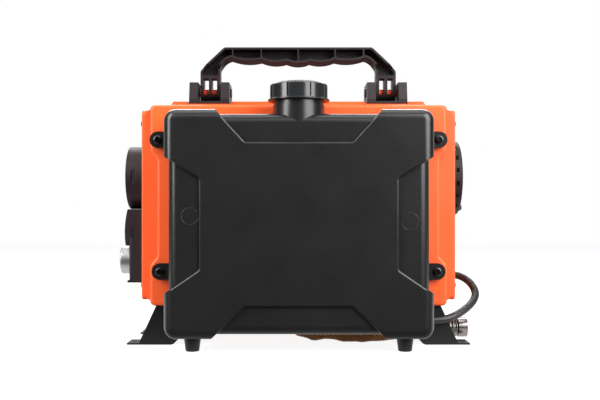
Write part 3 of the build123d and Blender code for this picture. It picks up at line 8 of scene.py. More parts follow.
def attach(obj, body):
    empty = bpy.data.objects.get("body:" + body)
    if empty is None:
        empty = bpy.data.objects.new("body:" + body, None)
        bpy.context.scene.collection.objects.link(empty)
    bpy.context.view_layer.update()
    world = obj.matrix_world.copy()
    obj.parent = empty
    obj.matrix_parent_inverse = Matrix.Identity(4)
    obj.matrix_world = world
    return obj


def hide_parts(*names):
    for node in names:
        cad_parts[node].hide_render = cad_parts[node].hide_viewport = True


# Portable diesel air heater: its light, its finishes, and the pieces that are finer than the CAD
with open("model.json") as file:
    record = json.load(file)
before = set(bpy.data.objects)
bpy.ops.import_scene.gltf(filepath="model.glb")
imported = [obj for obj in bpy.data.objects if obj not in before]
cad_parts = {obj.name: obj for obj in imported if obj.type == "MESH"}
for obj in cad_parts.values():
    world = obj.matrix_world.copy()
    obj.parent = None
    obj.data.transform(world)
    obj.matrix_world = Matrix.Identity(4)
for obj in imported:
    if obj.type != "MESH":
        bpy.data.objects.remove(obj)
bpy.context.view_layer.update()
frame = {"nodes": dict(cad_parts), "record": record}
nodes = frame["nodes"]
print("frame loaded,", len(nodes), "nodes")

mergeDistance = 1e-6  # metres, for the points that meet at a seam


def mm(value):
    return value / 1000.0  # millimetres to metres, for a number or a Vector


def linearColour(hexText):
    # sRGB hex to the linear colour that the shaders take
    parts = [int(hexText[i:i + 2], 16) / 255 for i in (0, 2, 4)]
    linear = [p / 12.92 if p <= 0.04045 else ((p + 0.055) / 1.055) ** 2.4 for p in parts]
    return tuple(linear) + (1.0,)


def addNode(tree, kind, settings=None, values=None, links=None):
    # One node with its settings, its socket values and the links into it. A socket goes by its
    # name, or by its number where several share a name
    node = tree.nodes.new(kind)
    for key, value in (settings or {}).items():
        setattr(node, key, value)
    for key, value in (values or {}).items():
        node.inputs[key].default_value = value
    for key, source in (links or {}).items():
        tree.links.new(source, node.inputs[key])
    return node


def smoothThing(name, shape, material, sharpDegrees=None):
    # A finished bmesh as a smooth object, with its edges above sharpDegrees left sharp
    bmesh.ops.recalc_face_normals(shape, faces=shape.faces)
    mesh = bpy.data.meshes.new(name)
    shape.to_mesh(mesh)
    shape.free()
    mesh.shade_smooth()
    if sharpDegrees is not None:
        mesh.set_sharp_from_angle(angle=math.radians(sharpDegrees))
    mesh.materials.append(material)
    thing = bpy.data.objects.new(name, mesh)
    bpy.context.scene.collection.objects.link(thing)
    return thing


def newMaterial(name):
    material = bpy.data.materials.new(name)
    material.use_nodes = True
    tree = material.node_tree
    return material, tree, tree.nodes["Principled BSDF"]


# The camera stands level with the tank's middle, one metre from its front
cameraPlace = {
    "position": (-0.008, -1.147, 0.160),
    "lens": 52.18,
    "sensor": 36.0,
    "shiftX": 0.0133,
    "shiftY": 0.0267,
    "clipEnd": 50,
}


def makeCamera():
    data = bpy.data.cameras.new("photoCamera")
    data.lens = cameraPlace["lens"]
    data.sensor_width = cameraPlace["sensor"]
    data.shift_x = cameraPlace["shiftX"]
    data.shift_y = cameraPlace["shiftY"]
    data.clip_end = cameraPlace["clipEnd"]
    camera = bpy.data.objects.new("photoCamera", data)
    camera.location = cameraPlace["position"]
    camera.rotation_euler = (math.radians(90), 0, 0)
    bpy.context.scene.collection.objects.link(camera)
    bpy.context.scene.camera = camera


studio = {
    "evenLight": 0.20,    # what falls on the object from all round
    "darkSide": 0.03,     # what gloss mirrors of the dark room
    "ceiling": 0.34,      # of its pale ceiling
    "backdrop": 0.85,     # and of the white backdrop behind the object
    "floorGlow": 0.90,
    "floorPaint": 0.28,
    "floorRoughness": 0.9,
    "floorHalf": 4.0,
    "floorDrop": 0.0002,  # below the object's feet, in metres
    # How far up a ray points, and for the backdrop how far back, where each starts to show and
    # where it shows in full
    "ceilingFade": (0.30, 0.75),
    "backdropFade": (0.35, 0.75),
    "horizonFade": (-0.02, 0.05),
    # Gloss sees the floor white within a strip along X, and dark outside it, in metres
    "stripMiddle": 0.22,
    "stripInner": 0.29,
    "stripOuter": 0.40,
    "lamps": [
        # name, place, target, width, height, watts
        ("leftSoftbox", (-1.26, -0.88, 0.95), (0, -0.05, 0.18), 0.6, 1.5, 34),
        ("rightSoftbox", (1.06, -1.14, 0.95), (0, -0.05, 0.18), 1.2, 1.5, 50),
        ("rimSoftbox", (0.0, 1.15, 1.45), (0, 0, 0.25), 2.0, 0.6, 34),
        ("frontSoftbox", (-0.2, -2.0, 1.9), (0, 0, 0.15), 1.6, 1.0, 6),
        ("topSoftbox", (0.0, -0.2, 1.9), (0, 0, 0.2), 1.6, 0.5, 10),
    ],
}
softStep = {"interpolation_type": "SMOOTHSTEP"}


def makeLamps():
    for name, place, target, width, height, watts in studio["lamps"]:
        data = bpy.data.lights.new(name, "AREA")
        data.shape = "RECTANGLE"
        data.size = width
        data.size_y = height
        data.energy = watts
        lamp = bpy.data.objects.new(name, data)
        lamp.location = place
        lamp.rotation_euler = (Vector(target) - Vector(place)).to_track_quat("-Z", "Y").to_euler()
        bpy.context.scene.collection.objects.link(lamp)


def makeWorld():
    # White where it is looked at and even for the light that falls. Gloss mirrors a dark room
    # that is pale above and behind
    world = bpy.data.worlds.new("paleStudio")
    bpy.context.scene.world = world
    world.use_nodes = True
    tree = world.node_tree
    tree.nodes.clear()
    rays = addNode(tree, "ShaderNodeLightPath")
    direction = addNode(tree, "ShaderNodeTexCoord")
    axes = addNode(tree, "ShaderNodeSeparateXYZ", links={0: direction.outputs["Generated"]})
    start, full = studio["ceilingFade"]
    ceiling = addNode(tree, "ShaderNodeMapRange", softStep, {
        "From Min": start, "From Max": full, "To Min": studio["darkSide"],
        "To Max": studio["ceiling"],
    }, {"Value": axes.outputs["Z"]})
    start, full = studio["backdropFade"]
    behind = addNode(tree, "ShaderNodeMapRange", softStep, {
        "From Min": start, "From Max": full, "To Max": studio["backdrop"],
    }, {"Value": axes.outputs["Y"]})
    start, full = studio["horizonFade"]
    above = addNode(tree, "ShaderNodeMapRange", softStep, {
        "From Min": start, "From Max": full}, {"Value": axes.outputs["Z"]})
    backdrop = addNode(tree, "ShaderNodeMath", {"operation": "MULTIPLY"}, links={
        0: behind.outputs[0], 1: above.outputs[0]})
    room = addNode(tree, "ShaderNodeMath", {"operation": "MAXIMUM"}, links={
        0: ceiling.outputs[0], 1: backdrop.outputs[0]})
    mirrored = addNode(tree, "ShaderNodeMix", {"data_type": "FLOAT"}, {2: studio["evenLight"]}, {
        0: rays.outputs["Is Glossy Ray"], 3: room.outputs[0]})
    looked = addNode(tree, "ShaderNodeMath", {"operation": "MAXIMUM"}, links={
        0: rays.outputs["Is Camera Ray"], 1: rays.outputs["Is Transmission Ray"]})
    strength = addNode(tree, "ShaderNodeMix", {"data_type": "FLOAT"}, {3: 1.0}, {
        0: looked.outputs[0], 2: mirrored.outputs[0]})
    sky = addNode(tree, "ShaderNodeBackground", values={"Color": (1, 1, 1, 1)}, links={
        "Strength": strength.outputs[0]})
    addNode(tree, "ShaderNodeOutputWorld", links={"Surface": sky.outputs[0]})


def makeFloor():
    mesh = bpy.data.meshes.new("studioFloor")
    shape = bmesh.new()
    bmesh.ops.create_grid(shape, x_segments=1, y_segments=1, size=studio["floorHalf"])
    bmesh.ops.translate(shape, verts=shape.verts, vec=(0, 0, -studio["floorDrop"]))
    shape.to_mesh(mesh)
    shape.free()
    floor = bpy.data.objects.new("studioFloor", mesh)
    bpy.context.scene.collection.objects.link(floor)
    material, tree, shader = newMaterial("paleFloor")
    paint = studio["floorPaint"]
    shader.inputs["Base Color"].default_value = (paint, paint, paint, 1)
    shader.inputs["Roughness"].default_value = studio["floorRoughness"]
    shader.inputs["Specular IOR Level"].default_value = 0.0  # no gloss of its own
    rays = addNode(tree, "ShaderNodeLightPath")
    place = addNode(tree, "ShaderNodeTexCoord")
    axes = addNode(tree, "ShaderNodeSeparateXYZ", links={0: place.outputs["Object"]})
    offset = addNode(tree, "ShaderNodeMath", {"operation": "SUBTRACT"},
                     {1: studio["stripMiddle"]}, {0: axes.outputs["Y"]})
    away = addNode(tree, "ShaderNodeMath", {"operation": "ABSOLUTE"}, links={0: offset.outputs[0]})
    sweep = addNode(tree, "ShaderNodeMapRange", softStep, {
        "From Min": studio["stripOuter"], "From Max": studio["stripInner"],
    }, {"Value": away.outputs[0]})
    looked = addNode(tree, "ShaderNodeMath", {"operation": "MAXIMUM"}, links={
        0: rays.outputs["Is Camera Ray"], 1: rays.outputs["Is Transmission Ray"]})
    mirrored = addNode(tree, "ShaderNodeMath", {"operation": "MULTIPLY"}, links={
        0: rays.outputs["Is Glossy Ray"], 1: sweep.outputs[0]})
    seen = addNode(tree, "ShaderNodeMath", {"operation": "MAXIMUM"}, links={
        0: looked.outputs[0], 1: mirrored.outputs[0]})
    glow = addNode(tree, "ShaderNodeEmission", values={
        "Color": (1, 1, 1, 1), "Strength": studio["floorGlow"]})
    both = addNode(tree, "ShaderNodeAddShader", links={0: shader.outputs[0], 1: glow.outputs[0]})
    dark = addNode(tree, "ShaderNodeEmission", values={
        "Color": (1, 1, 1, 1), "Strength": studio["darkSide"]})
    dull = addNode(tree, "ShaderNodeMixShader", links={
        0: rays.outputs["Is Glossy Ray"], 1: shader.outputs[0], 2: dark.outputs[0]})
    mix = addNode(tree, "ShaderNodeMixShader", links={
        0: seen.outputs[0], 1: dull.outputs[0], 2: both.outputs[0]})
    tree.links.new(mix.outputs[0], tree.nodes["Material Output"].inputs["Surface"])
    mesh.materials.append(material)


makeCamera()
makeLamps()
makeWorld()
makeFloor()
print("camera and studio made")


def surfaceGrain(tree, sizeMm, detail=2.0, stretch=(1, 1, 1)):
    # Noise on Object coordinates with spots of about sizeMm, drawn out along the axes where
    # stretch is below one
    place = addNode(tree, "ShaderNodeTexCoord")
    turn = addNode(tree, "ShaderNodeMapping", links={"Vector": place.outputs["Object"]},
                   values={"Scale": stretch})
    return addNode(tree, "ShaderNodeTexNoise", values={
        "Scale": 1000.0 / sizeMm, "Detail": detail, "Roughness": 0.5,
    }, links={"Vector": turn.outputs[0]})


def unevenSheen(tree, shader, source, look):
    # The roughness wanders by the look's spread to either side
    sheen = addNode(tree, "ShaderNodeMapRange", values={
        "To Min": look["roughness"] - look["spread"], "To Max": look["roughness"] + look["spread"],
    }, links={"Value": source})
    tree.links.new(sheen.outputs[0], shader.inputs["Roughness"])


# What a finish has where its own dictionary says nothing else
plainPlastic = {"stretch": (1, 1, 1), "bump": 0.35, "ior": 1.5}
plainMetal = {"stretch": (1, 1, 1), "bump": 0.2}


def mouldedPlastic(name, look):
    # Soft patches of sheen, slightly uneven colour, and the fine grain of the mould's face
    look = plainPlastic | look
    material, tree, shader = newMaterial(name)
    patches = surfaceGrain(tree, look["patchMm"], detail=3.0)
    tint = addNode(tree, "ShaderNodeMix", {"data_type": "RGBA"}, {
        6: linearColour(look["shade"]), 7: linearColour(look["colour"]),
    }, {0: patches.outputs["Fac"]})
    tree.links.new(tint.outputs[2], shader.inputs["Base Color"])
    grain = surfaceGrain(tree, look["grainMm"], stretch=look["stretch"])
    mixed = addNode(tree, "ShaderNodeMix", {"data_type": "FLOAT"}, {0: 0.5}, {  # half of each
        2: patches.outputs["Fac"], 3: grain.outputs["Fac"]})
    unevenSheen(tree, shader, mixed.outputs[0], look)
    shader.inputs["IOR"].default_value = look["ior"]
    bump = addNode(tree, "ShaderNodeBump", values={
        "Strength": look["bump"], "Distance": mm(look["grainHeightMm"]),
    }, links={"Height": grain.outputs["Fac"]})
    tree.links.new(bump.outputs[0], shader.inputs["Normal"])
    return material


def bareMetal(name, look):
    # The grain of its making, and small changes of sheen
    look = plainMetal | look
    material, tree, shader = newMaterial(name)
    shader.inputs["Metallic"].default_value = 1.0
    shader.inputs["Base Color"].default_value = linearColour(look["colour"])
    grain = surfaceGrain(tree, look["grainMm"], detail=3.0, stretch=look["stretch"])
    unevenSheen(tree, shader, grain.outputs["Fac"], look)
    bump = addNode(tree, "ShaderNodeBump", values={
        "Strength": look["bump"], "Distance": mm(look["grainHeightMm"]),
    }, links={"Height": grain.outputs["Fac"]})
    tree.links.new(bump.outputs[0], shader.inputs["Normal"])
    return material


def sleevedPin(name, look):
    # The shank's sleeve ends inside the bracket; outside that the pin is bare dark steel
    material, tree, shader = newMaterial(name)
    place = addNode(tree, "ShaderNodeTexCoord")
    axes = addNode(tree, "ShaderNodeSeparateXYZ", links={0: place.outputs["Object"]})
    side = addNode(tree, "ShaderNodeMath", {"operation": "ABSOLUTE"}, links={0: axes.outputs["X"]})
    shank = addNode(tree, "ShaderNodeMath", {"operation": "COMPARE"}, {
        1: mm(look["middleMm"]), 2: mm(look["halfShankMm"])}, {0: side.outputs[0]})
    paint = addNode(tree, "ShaderNodeMix", {"data_type": "RGBA"}, {
        6: linearColour(look["head"]), 7: linearColour(look["colour"])}, {0: shank.outputs[0]})
    tree.links.new(paint.outputs[2], shader.inputs["Base Color"])
    bare = addNode(tree, "ShaderNodeMath", {"operation": "SUBTRACT"}, {0: 1.0},
                   {1: shank.outputs[0]})
    tree.links.new(bare.outputs[0], shader.inputs["Metallic"])
    grain = surfaceGrain(tree, look["grainMm"])
    unevenSheen(tree, shader, grain.outputs["Fac"], look)
    return material


# Grain, pores and tool marks finer than about half a millimetre wouldn't show, so they are drawn
# that coarse or coarser
finishes = {
    # ABS, spark-eroded mould: an even satin orange whose fine grain softens the gloss
    "orange_case": mouldedPlastic("satinAbs", {
        "colour": "FA6226", "shade": "F4561B", "patchMm": 55.0, "roughness": 0.40, "spread": 0.05,
        "grainMm": 0.7, "grainHeightMm": 0.05}),
    # Blow-moulded polyethylene: charcoal with a waxy sheen and faint lines along the parison's draw
    "tank_black": mouldedPlastic("blowMouldedPolyethylene", {
        "colour": "1D1D1D", "shade": "161616", "patchMm": 40.0, "roughness": 0.29, "spread": 0.06,
        "grainMm": 1.4, "grainHeightMm": 0.05, "stretch": (0.03, 1, 1), "bump": 0.22}),
    # Glass-filled nylon: brown-black and a little dry, with a soft sheen on its rims
    "handle_black": mouldedPlastic("glassFilledNylon", {
        "colour": "252022", "shade": "1F1A1C", "patchMm": 14.0, "roughness": 0.42, "spread": 0.06,
        "grainMm": 0.8, "grainHeightMm": 0.05, "ior": 1.38}),
    # ABS in a matt mould: a warm black
    "pod_black": mouldedPlastic("mattAbs", {
        "colour": "271C1F", "shade": "20161A", "patchMm": 20.0, "roughness": 0.55, "spread": 0.05,
        "grainMm": 0.8, "grainHeightMm": 0.03, "bump": 0.12, "ior": 1.38}),
    # Hinge pins: slippery orange-red acetal on the shank, dark steel heads
    "pin_orange": sleevedPin("acetalOnSteel", {
        "colour": "F04A22", "head": "4A4648", "roughness": 0.30, "spread": 0.05, "grainMm": 0.8,
        "middleMm": 114.7, "halfShankMm": 25.9}),
    # Polypropylene in a polished mould: black with clear highlights
    "cap_black": mouldedPlastic("polishedPolypropylene", {
        "colour": "242526", "shade": "1F2021", "patchMm": 30.0, "roughness": 0.21, "spread": 0.03,
        "grainMm": 0.9, "grainHeightMm": 0.008}),
    # Nitrile rubber, extruded or pressed: dull black
    "rubber": mouldedPlastic("nitrileRubber", {
        "colour": "1E1E1F", "shade": "181819", "patchMm": 12.0, "roughness": 0.42, "spread": 0.06,
        "grainMm": 0.9, "grainHeightMm": 0.03}),
    # Sheet steel, powder coated: black with the slight orange-peel of the baked powder
    "black_steel": mouldedPlastic("powderCoatedSteel", {
        "colour": "101011", "shade": "0C0C0D", "patchMm": 24.0, "roughness": 0.46, "spread": 0.06,
        "grainMm": 1.1, "grainHeightMm": 0.06, "ior": 1.38}),
    # Steel with black zinc: dark metal that still glints on its rims
    "screw_steel": bareMetal("blackZincSteel", {
        "colour": "4A4A4E", "roughness": 0.24, "spread": 0.05, "grainMm": 0.6,
        "grainHeightMm": 0.01}),
    # Stainless steel, formed: bright, with a faint grain in its sheen
    "bright_steel": bareMetal("formedStainless", {
        "colour": "8A8481", "roughness": 0.24, "spread": 0.06, "grainMm": 0.5,
        "grainHeightMm": 0.01}),
    # Aluminium, turned: rings of the tool round the knob's axis
    "knob_metal": bareMetal("turnedAluminium", {
        "colour": "ACACAB", "roughness": 0.44, "spread": 0.04, "grainMm": 0.6,
        "grainHeightMm": 0.004, "stretch": (1, 0.01, 0.01)}),
    # Basalt yarn, braided: for the CAD solid that the sleeve's own piece stands for
    "sleeve_braid": mouldedPlastic("basaltYarn", {
        "colour": "9A6430", "shade": "5E3818", "patchMm": 6.0, "roughness": 0.7, "spread": 0.08,
        "grainMm": 1.2, "grainHeightMm": 0.3}),
    # Aluminium, die cast: grey with a skin like fine sand
    "cast_aluminium": bareMetal("dieCastAluminium", {
        "colour": "A9A9A8", "roughness": 0.48, "spread": 0.08, "grainMm": 1.0,
        "grainHeightMm": 0.06}),
    # Acrylic, polished: a near-black window
    "lens": mouldedPlastic("smokedAcrylic", {
        "colour": "101116", "shade": "0E0F13", "patchMm": 30.0, "roughness": 0.08, "spread": 0.02,
        "grainMm": 3.0, "grainHeightMm": 0.002, "ior": 1.49}),
    # Epoxy board under solder mask: green and smooth
    "board": mouldedPlastic("solderMask", {
        "colour": "1F5A35", "shade": "194B2C", "patchMm": 15.0, "roughness": 0.32, "spread": 0.05,
        "grainMm": 1.0, "grainHeightMm": 0.01}),
    # Polyamide inside the case: plain dark grey
    "inner_plastic": mouldedPlastic("plainPolyamide", {
        "colour": "262626", "shade": "202020", "patchMm": 20.0, "roughness": 0.48, "spread": 0.06,
        "grainMm": 1.0, "grainHeightMm": 0.05}),
    # Bronze, sintered: dull gold with open pores
    "bronze": bareMetal("sinteredBronze", {
        "colour": "A88046", "roughness": 0.42, "spread": 0.06, "grainMm": 0.5,
        "grainHeightMm": 0.03}),
}


def dressNodes():
    slots = {part["node"]: part["material_slot"] for part in frame["record"]["subparts"]}
    for name, thing in nodes.items():
        thing.data.materials.clear()
        thing.data.materials.append(finishes[slots[name]])


dressNodes()
print("materials given to the frame's nodes")


# Rubber hose from the tank's outlet round into the right end panel
hose = {
    "radiusMm": 4.85,
    "lengthMm": 184.0,
    "stepsAlong": 16,       # from one point of the route to the next
    "stepsAround": 8,       # in a quarter of the round section
    "routeMm": [
        (186.5, 3, 83), (207, 3, 83), (218, -5, 79), (225.5, -17, 71.5), (228.5, -31, 60.5),
        (221, -44, 50), (205, -60, 40.5), (187, -71.5, 33), (166, -73.5, 30.5), (138, -73.5, 30.5),
    ],
}


def makeHose():
    # A smooth line that the route's points pull, with a round section
    data = bpy.data.curves.new("fuelHose", "CURVE")
    data.dimensions = "3D"
    data.resolution_u = hose["stepsAlong"]
    spline = data.splines.new("NURBS")
    spline.points.add(len(hose["routeMm"]) - 1)
    for point, place in zip(spline.points, hose["routeMm"]):
        point.co = tuple(mm(value) for value in place) + (1.0,)
    spline.order_u = 3
    spline.use_endpoint_u = True
    data.bevel_depth = mm(hose["radiusMm"])
    data.bevel_resolution = hose["stepsAround"]
    data.use_fill_caps = True
    data.materials.append(finishes["rubber"])
    thing = bpy.data.objects.new("fuelHose", data)
    bpy.context.scene.collection.objects.link(thing)
    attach(thing, "case")
    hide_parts("fuel_hose")
    tuple(mm(v) for v in hose["routeMm"][0])
    mm(hose["lengthMm"])


makeHose()
print("hose made")


# The exhaust's centre line: its corners and the radius of the bend at each one
exhaustLine = {
    "cornersMm": [
        (-2, -20, 110), (-2, -20, 15.8), (42, -49, 15.8), (98, -40, 15.8), (158, -17, 15.8),
        (218.3, -17, 15.8),
    ],
    "bendsMm": [27, 60, 150, 120],
    "arcSteps": 24,
}


def exhaustPoints(stepMm):
    # Evenly spaced points on the line's straight runs and arcs, in millimetres
    arcSteps = exhaustLine["arcSteps"]
    bends = exhaustLine["bendsMm"]
    places = [Vector(corner) for corner in exhaustLine["cornersMm"]]
    raw = [places[0]]
    for before, corner, after, radius in zip(places, places[1:], places[2:], bends):
        back = (before - corner).normalized()
        ahead = (after - corner).normalized()
        half = back.angle(ahead) / 2
        middle = corner + (back + ahead).normalized() * (radius / math.sin(half))
        first = corner + back * (radius / math.tan(half)) - middle
        last = corner + ahead * (radius / math.tan(half)) - middle
        for number in range(arcSteps + 1):
            turned = first.normalized().slerp(last.normalized(), number / arcSteps)
            raw.append(middle + turned * radius)
    raw.append(places[-1])
    steps = [0.0]
    for a, b in zip(raw, raw[1:]):
        steps.append(steps[-1] + (b - a).length)
    count = round(steps[-1] / stepMm)
    points = []
    index = 0
    for number in range(count + 1):
        target = steps[-1] * number / count
        while index < len(steps) - 2 and steps[index + 1] < target:
            index += 1
        share = (target - steps[index]) / (steps[index + 1] - steps[index])
        points.append(raw[index].lerp(raw[index + 1], share))
    return points


def framesAlong(points):
    # A side and an up direction at each point, carried along without twist
    side = Vector((0, 1, 0))
    result = []
    for number in range(len(points)):
        ahead = points[min(number + 1, len(points) - 1)] - points[max(number - 1, 0)]
        ahead.normalize()
        side = (side - ahead * side.dot(ahead)).normalized()
        result.append((side.copy(), ahead.cross(side)))
    return result


def rolledGrid(shape, rings, around):
    # The vertices of a flat grid, each with its ring along the tube that it is rolled into and
    # its share of the turn around it
    bmesh.ops.create_grid(shape, x_segments=rings - 1, y_segments=around, size=0.5)
    for vert in shape.verts:
        yield vert, round((vert.co.x + 0.5) * (rings - 1)), vert.co.y + 0.5


# Braided heat sleeve, loose on the exhaust pipe, so it bags and wrinkles where the pipe bends
sleeve = {
    "startMm": 53.5,        # from the pipe's upper end
    "endMm": 60.3,          # from its free end
    "radiusMm": 14.3,
    "strands": 16,          # in each direction
    "strandPitchMm": 4.4,   # along the pipe, from one strand to the next
    "reliefMm": 0.5,
    "dip": 0.9,             # how far a strand dips under the one that crosses it, 0 to 1
    "around": 144,
    "ringMm": 0.6,
    # wide bags and short folds: their length along the pipe, how fast they change around it,
    # where in the noise they start, and how high they stand
    "bag": {"lengthMm": 17.0, "around": 0.8, "shift": 0.0, "heightMm": 0.9},
    "fold": {"lengthMm": 7.0, "around": 1.3, "shift": 9.0, "heightMm": 0.5},
    "slackMm": 0.4,         # taken off all round for what the bags add
    "meanRelief": 0.6,      # the height of the braid that stays at the radius
    # how high the underside hangs at each X, as it lies on the floor and lifts off it, where the
    # pipe's middle is lower than lyingBelowMm
    "lyingBelowMm": 22,
    "undersideMm": [
        (-10, 1.2), (8, 2.6), (20, 0.6), (38, 4.2), (60, 0.6), (100, 0.4), (130, 1.7), (160, 1.6),
    ],
    "floorGapMm": 0.15,     # under its lowest strands
}


def smoothBetween(pairs, at):
    # The value at a place, from a list of places and values, without kinks
    if at <= pairs[0][0]:
        return pairs[0][1]
    for (x0, y0), (x1, y1) in zip(pairs, pairs[1:]):
        if at <= x1:
            share = (at - x0) / (x1 - x0)
            return y0 + (y1 - y0) * share * share * (3 - 2 * share)
    return pairs[-1][1]


def braidRelief(along, turn):
    # Plain braid: two families of strands, each over and under the other in turn; 0 deep, 1 proud
    left = along + turn
    right = along - turn
    leftArch = math.sqrt(max(0.0, 1 - (2 * (left % 1.0) - 1) ** 2))
    rightArch = math.sqrt(max(0.0, 1 - (2 * (right % 1.0) - 1) ** 2))
    leftOver = 0.5 + 0.5 * math.cos(math.pi * (math.floor(left) + right - 0.5)) * sleeve["dip"]
    rightOver = 0.5 - 0.5 * math.cos(math.pi * (math.floor(right) + left - 0.5)) * sleeve["dip"]
    return max(leftArch * leftOver, rightArch * rightOver)


def wrinkle(look, along, angle):
    # How far a bag or fold stands off the sleeve's round shape there, in millimetres
    around = look["around"]
    place = Vector((along / look["lengthMm"], math.cos(angle) * around + look["shift"],
                    math.sin(angle) * around))
    return look["heightMm"] * noise.noise(place)


def makeSleeve():
    line = exhaustPoints(sleeve["ringMm"])
    start = round(sleeve["startMm"] / sleeve["ringMm"])
    end = round(sleeve["endMm"] / sleeve["ringMm"])
    points = line[start:-end]
    frames = framesAlong(points)
    shape = bmesh.new()
    relief = shape.verts.layers.float.new("braidRelief")
    for vert, ring, share in rolledGrid(shape, len(points), sleeve["around"]):
        angle = share * 2 * math.pi
        side, up = frames[ring]
        along = ring * sleeve["ringMm"]
        height = braidRelief(along / sleeve["strandPitchMm"], share * sleeve["strands"])
        vert[relief] = height
        out = side * math.cos(angle) + up * math.sin(angle)
        centre = points[ring]
        bag = wrinkle(sleeve["bag"], along, angle)
        fold = wrinkle(sleeve["fold"], along, angle)
        radius = sleeve["radiusMm"] + bag + fold - sleeve["slackMm"]
        place = centre + out * radius
        if centre.z < sleeve["lyingBelowMm"] and place.z < centre.z:
            low = smoothBetween(sleeve["undersideMm"], place.x)
            roundLow = centre.z - sleeve["radiusMm"]
            depth = (centre.z - place.z) / sleeve["radiusMm"]
            place.z += (low - roundLow) * depth
        place += out * sleeve["reliefMm"] * (height - sleeve["meanRelief"])
        place.z = max(place.z, sleeve["floorGapMm"])
        vert.co = mm(place)
    bmesh.ops.remove_doubles(shape, verts=shape.verts, dist=mergeDistance)
    thing = smoothThing("heatSleeve", shape, braidedYarn())
    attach(thing, "case")
    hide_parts("exhaust_sleeve")


# Basalt yarn with a bronze size, golden; its colour by relief adds painted shade, dark brown
# between the strands, and a painted highlight, pale gold on the proud strands
yarn = {
    "paintedShadeAndHighlightByRelief": [(0.15, "5A2D10"), (0.62, "DC8E44"), (0.95, "FFDCA6")],
    "stain": "B89070",
    "stainShare": 0.6,
    "stainMm": 28.0,
    "roughness": 0.62,
    "specular": 0.25,
    "fibreMm": 0.8,
    "fibreHeightMm": 0.2,
    "fibreBump": 0.5,
}


def braidedYarn():
    material, tree, shader = newMaterial("braidedBasaltPaintedShade")
    depth = addNode(tree, "ShaderNodeAttribute", {"attribute_name": "braidRelief"})
    # The ramp paints shade into the hollows between the strands and a highlight onto their crests
    ramp = addNode(tree, "ShaderNodeValToRGB", links={0: depth.outputs["Fac"]})
    deep, middle, proud = yarn["paintedShadeAndHighlightByRelief"]
    for stop, (position, colour) in zip(ramp.color_ramp.elements, (deep, proud)):
        stop.position = position
        stop.color = linearColour(colour)
    ramp.color_ramp.elements.new(middle[0]).color = linearColour(middle[1])
    stain = surfaceGrain(tree, yarn["stainMm"], detail=3.0)
    tint = addNode(tree, "ShaderNodeMix", {"data_type": "RGBA", "blend_type": "MULTIPLY"}, {
        0: yarn["stainShare"], 7: linearColour(yarn["stain"])}, {6: ramp.outputs[0]})
    patch = addNode(tree, "ShaderNodeMix", {"data_type": "RGBA"}, links={
        0: stain.outputs["Fac"], 6: ramp.outputs[0], 7: tint.outputs[2]})
    tree.links.new(patch.outputs[2], shader.inputs["Base Color"])
    shader.inputs["Roughness"].default_value = yarn["roughness"]
    shader.inputs["Specular IOR Level"].default_value = yarn["specular"]
    fibres = surfaceGrain(tree, yarn["fibreMm"])
    bump = addNode(tree, "ShaderNodeBump", values={
        "Strength": yarn["fibreBump"], "Distance": mm(yarn["fibreHeightMm"]),
    }, links={"Height": fibres.outputs["Fac"]})
    tree.links.new(bump.outputs[0], shader.inputs["Normal"])
    return material


makeSleeve()
print("heat sleeve made")


# Corrugated pipe of formed stainless steel, with a smooth cuff at each end
pipe = {
    "rootMm": 10.5,
    "crestMm": 12.0,
    "cuffMm": 12.5,
    "boreMm": 9.9,
    "ribPitchMm": 4.4,
    "ribs": 66,
    "ribRoundness": 0.8,    # below one makes the crests fuller
    "boreDepthMm": 25,      # how far the open end is hollow
    "sharpDegrees": 50,
    "around": 56,
    "ringMm": 0.44,
}


def ribRadius(at, length):
    # The pipe's outer radius at a distance from its upper end: smooth cuffs, round ribs between
    first = (length - pipe["ribs"] * pipe["ribPitchMm"]) / 2
    if at < first or at > length - first:
        return pipe["cuffMm"]
    phase = (at - first) / pipe["ribPitchMm"]
    wave = 0.5 - 0.5 * math.cos(2 * math.pi * phase)
    return pipe["rootMm"] + (pipe["crestMm"] - pipe["rootMm"]) * wave ** pipe["ribRoundness"]


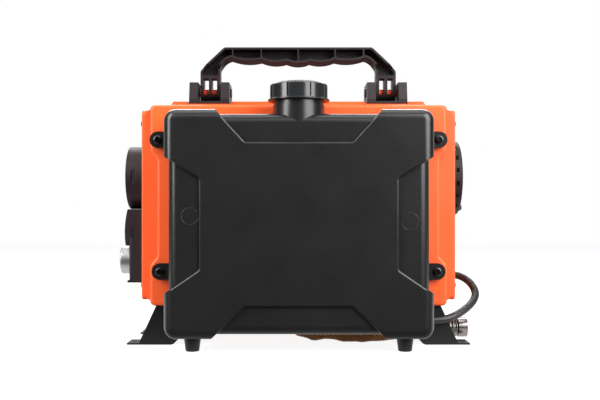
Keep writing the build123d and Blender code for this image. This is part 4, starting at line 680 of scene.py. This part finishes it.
def makePipe():
    # From the closed upper end over the ribs to the open end, and back a little way inside
    points = exhaustPoints(pipe["ringMm"])
    frames = framesAlong(points)
    length = sum((b - a).length for a, b in zip(points, points[1:]))
    last = len(points) - 1
    inside = last - round(pipe["boreDepthMm"] / pipe["ringMm"])
    sections = [(0, pipe["boreMm"])]  # each a point's number and the radius there
    sections += [(number, ribRadius(length * number / last, length)) for number in range(last + 1)]
    sections += [(last, pipe["boreMm"]), (inside, pipe["boreMm"])]
    shape = bmesh.new()
    for vert, ring, share in rolledGrid(shape, len(sections), pipe["around"]):
        angle = share * 2 * math.pi
        number, radius = sections[ring]
        side, up = frames[number]
        vert.co = mm(points[number] + (side * math.cos(angle) + up * math.sin(angle)) * radius)
    bmesh.ops.remove_doubles(shape, verts=shape.verts, dist=mergeDistance)
    bmesh.ops.holes_fill(shape, edges=shape.edges)
    thing = smoothThing("corrugatedPipe", shape, finishes["bright_steel"], pipe["sharpDegrees"])
    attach(thing, "case")
    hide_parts("exhaust_pipe")


makePipe()
print("exhaust pipe made")


# The round witness marks that the mould leaves on the tank's fields, each a thin bead
mouldRings = {
    "placesMm": [(-126.0, 159.5), (128.5, 153.5)],
    "planeMm": -142.9,      # in the grooves of the tank's side fields
    "radiusMm": 9.95,
    "beadMm": 0.5,
    "around": 72,
    "beadSides": 12,
}


def makeMouldRings():
    shape = bmesh.new()
    for x, z in mouldRings["placesMm"]:
        middle = mm(Vector((x, mouldRings["planeMm"], z)))
        start = Matrix.Translation(middle + Vector((mm(mouldRings["radiusMm"]), 0, 0)))
        bead = bmesh.ops.create_circle(shape, segments=mouldRings["beadSides"],
                                       radius=mm(mouldRings["beadMm"]), matrix=start)
        outline = [edge for edge in shape.edges if edge.is_wire]
        bmesh.ops.spin(shape, geom=bead["verts"] + outline, cent=middle, axis=(0, 1, 0),
                       angle=2 * math.pi, steps=mouldRings["around"], use_merge=True)
    thing = smoothThing("mouldRings", shape, finishes["tank_black"])
    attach(thing, "case")


makeMouldRings()
print("mould rings made")


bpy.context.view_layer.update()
scene = bpy.context.scene
scene.view_settings.view_transform = "Standard"
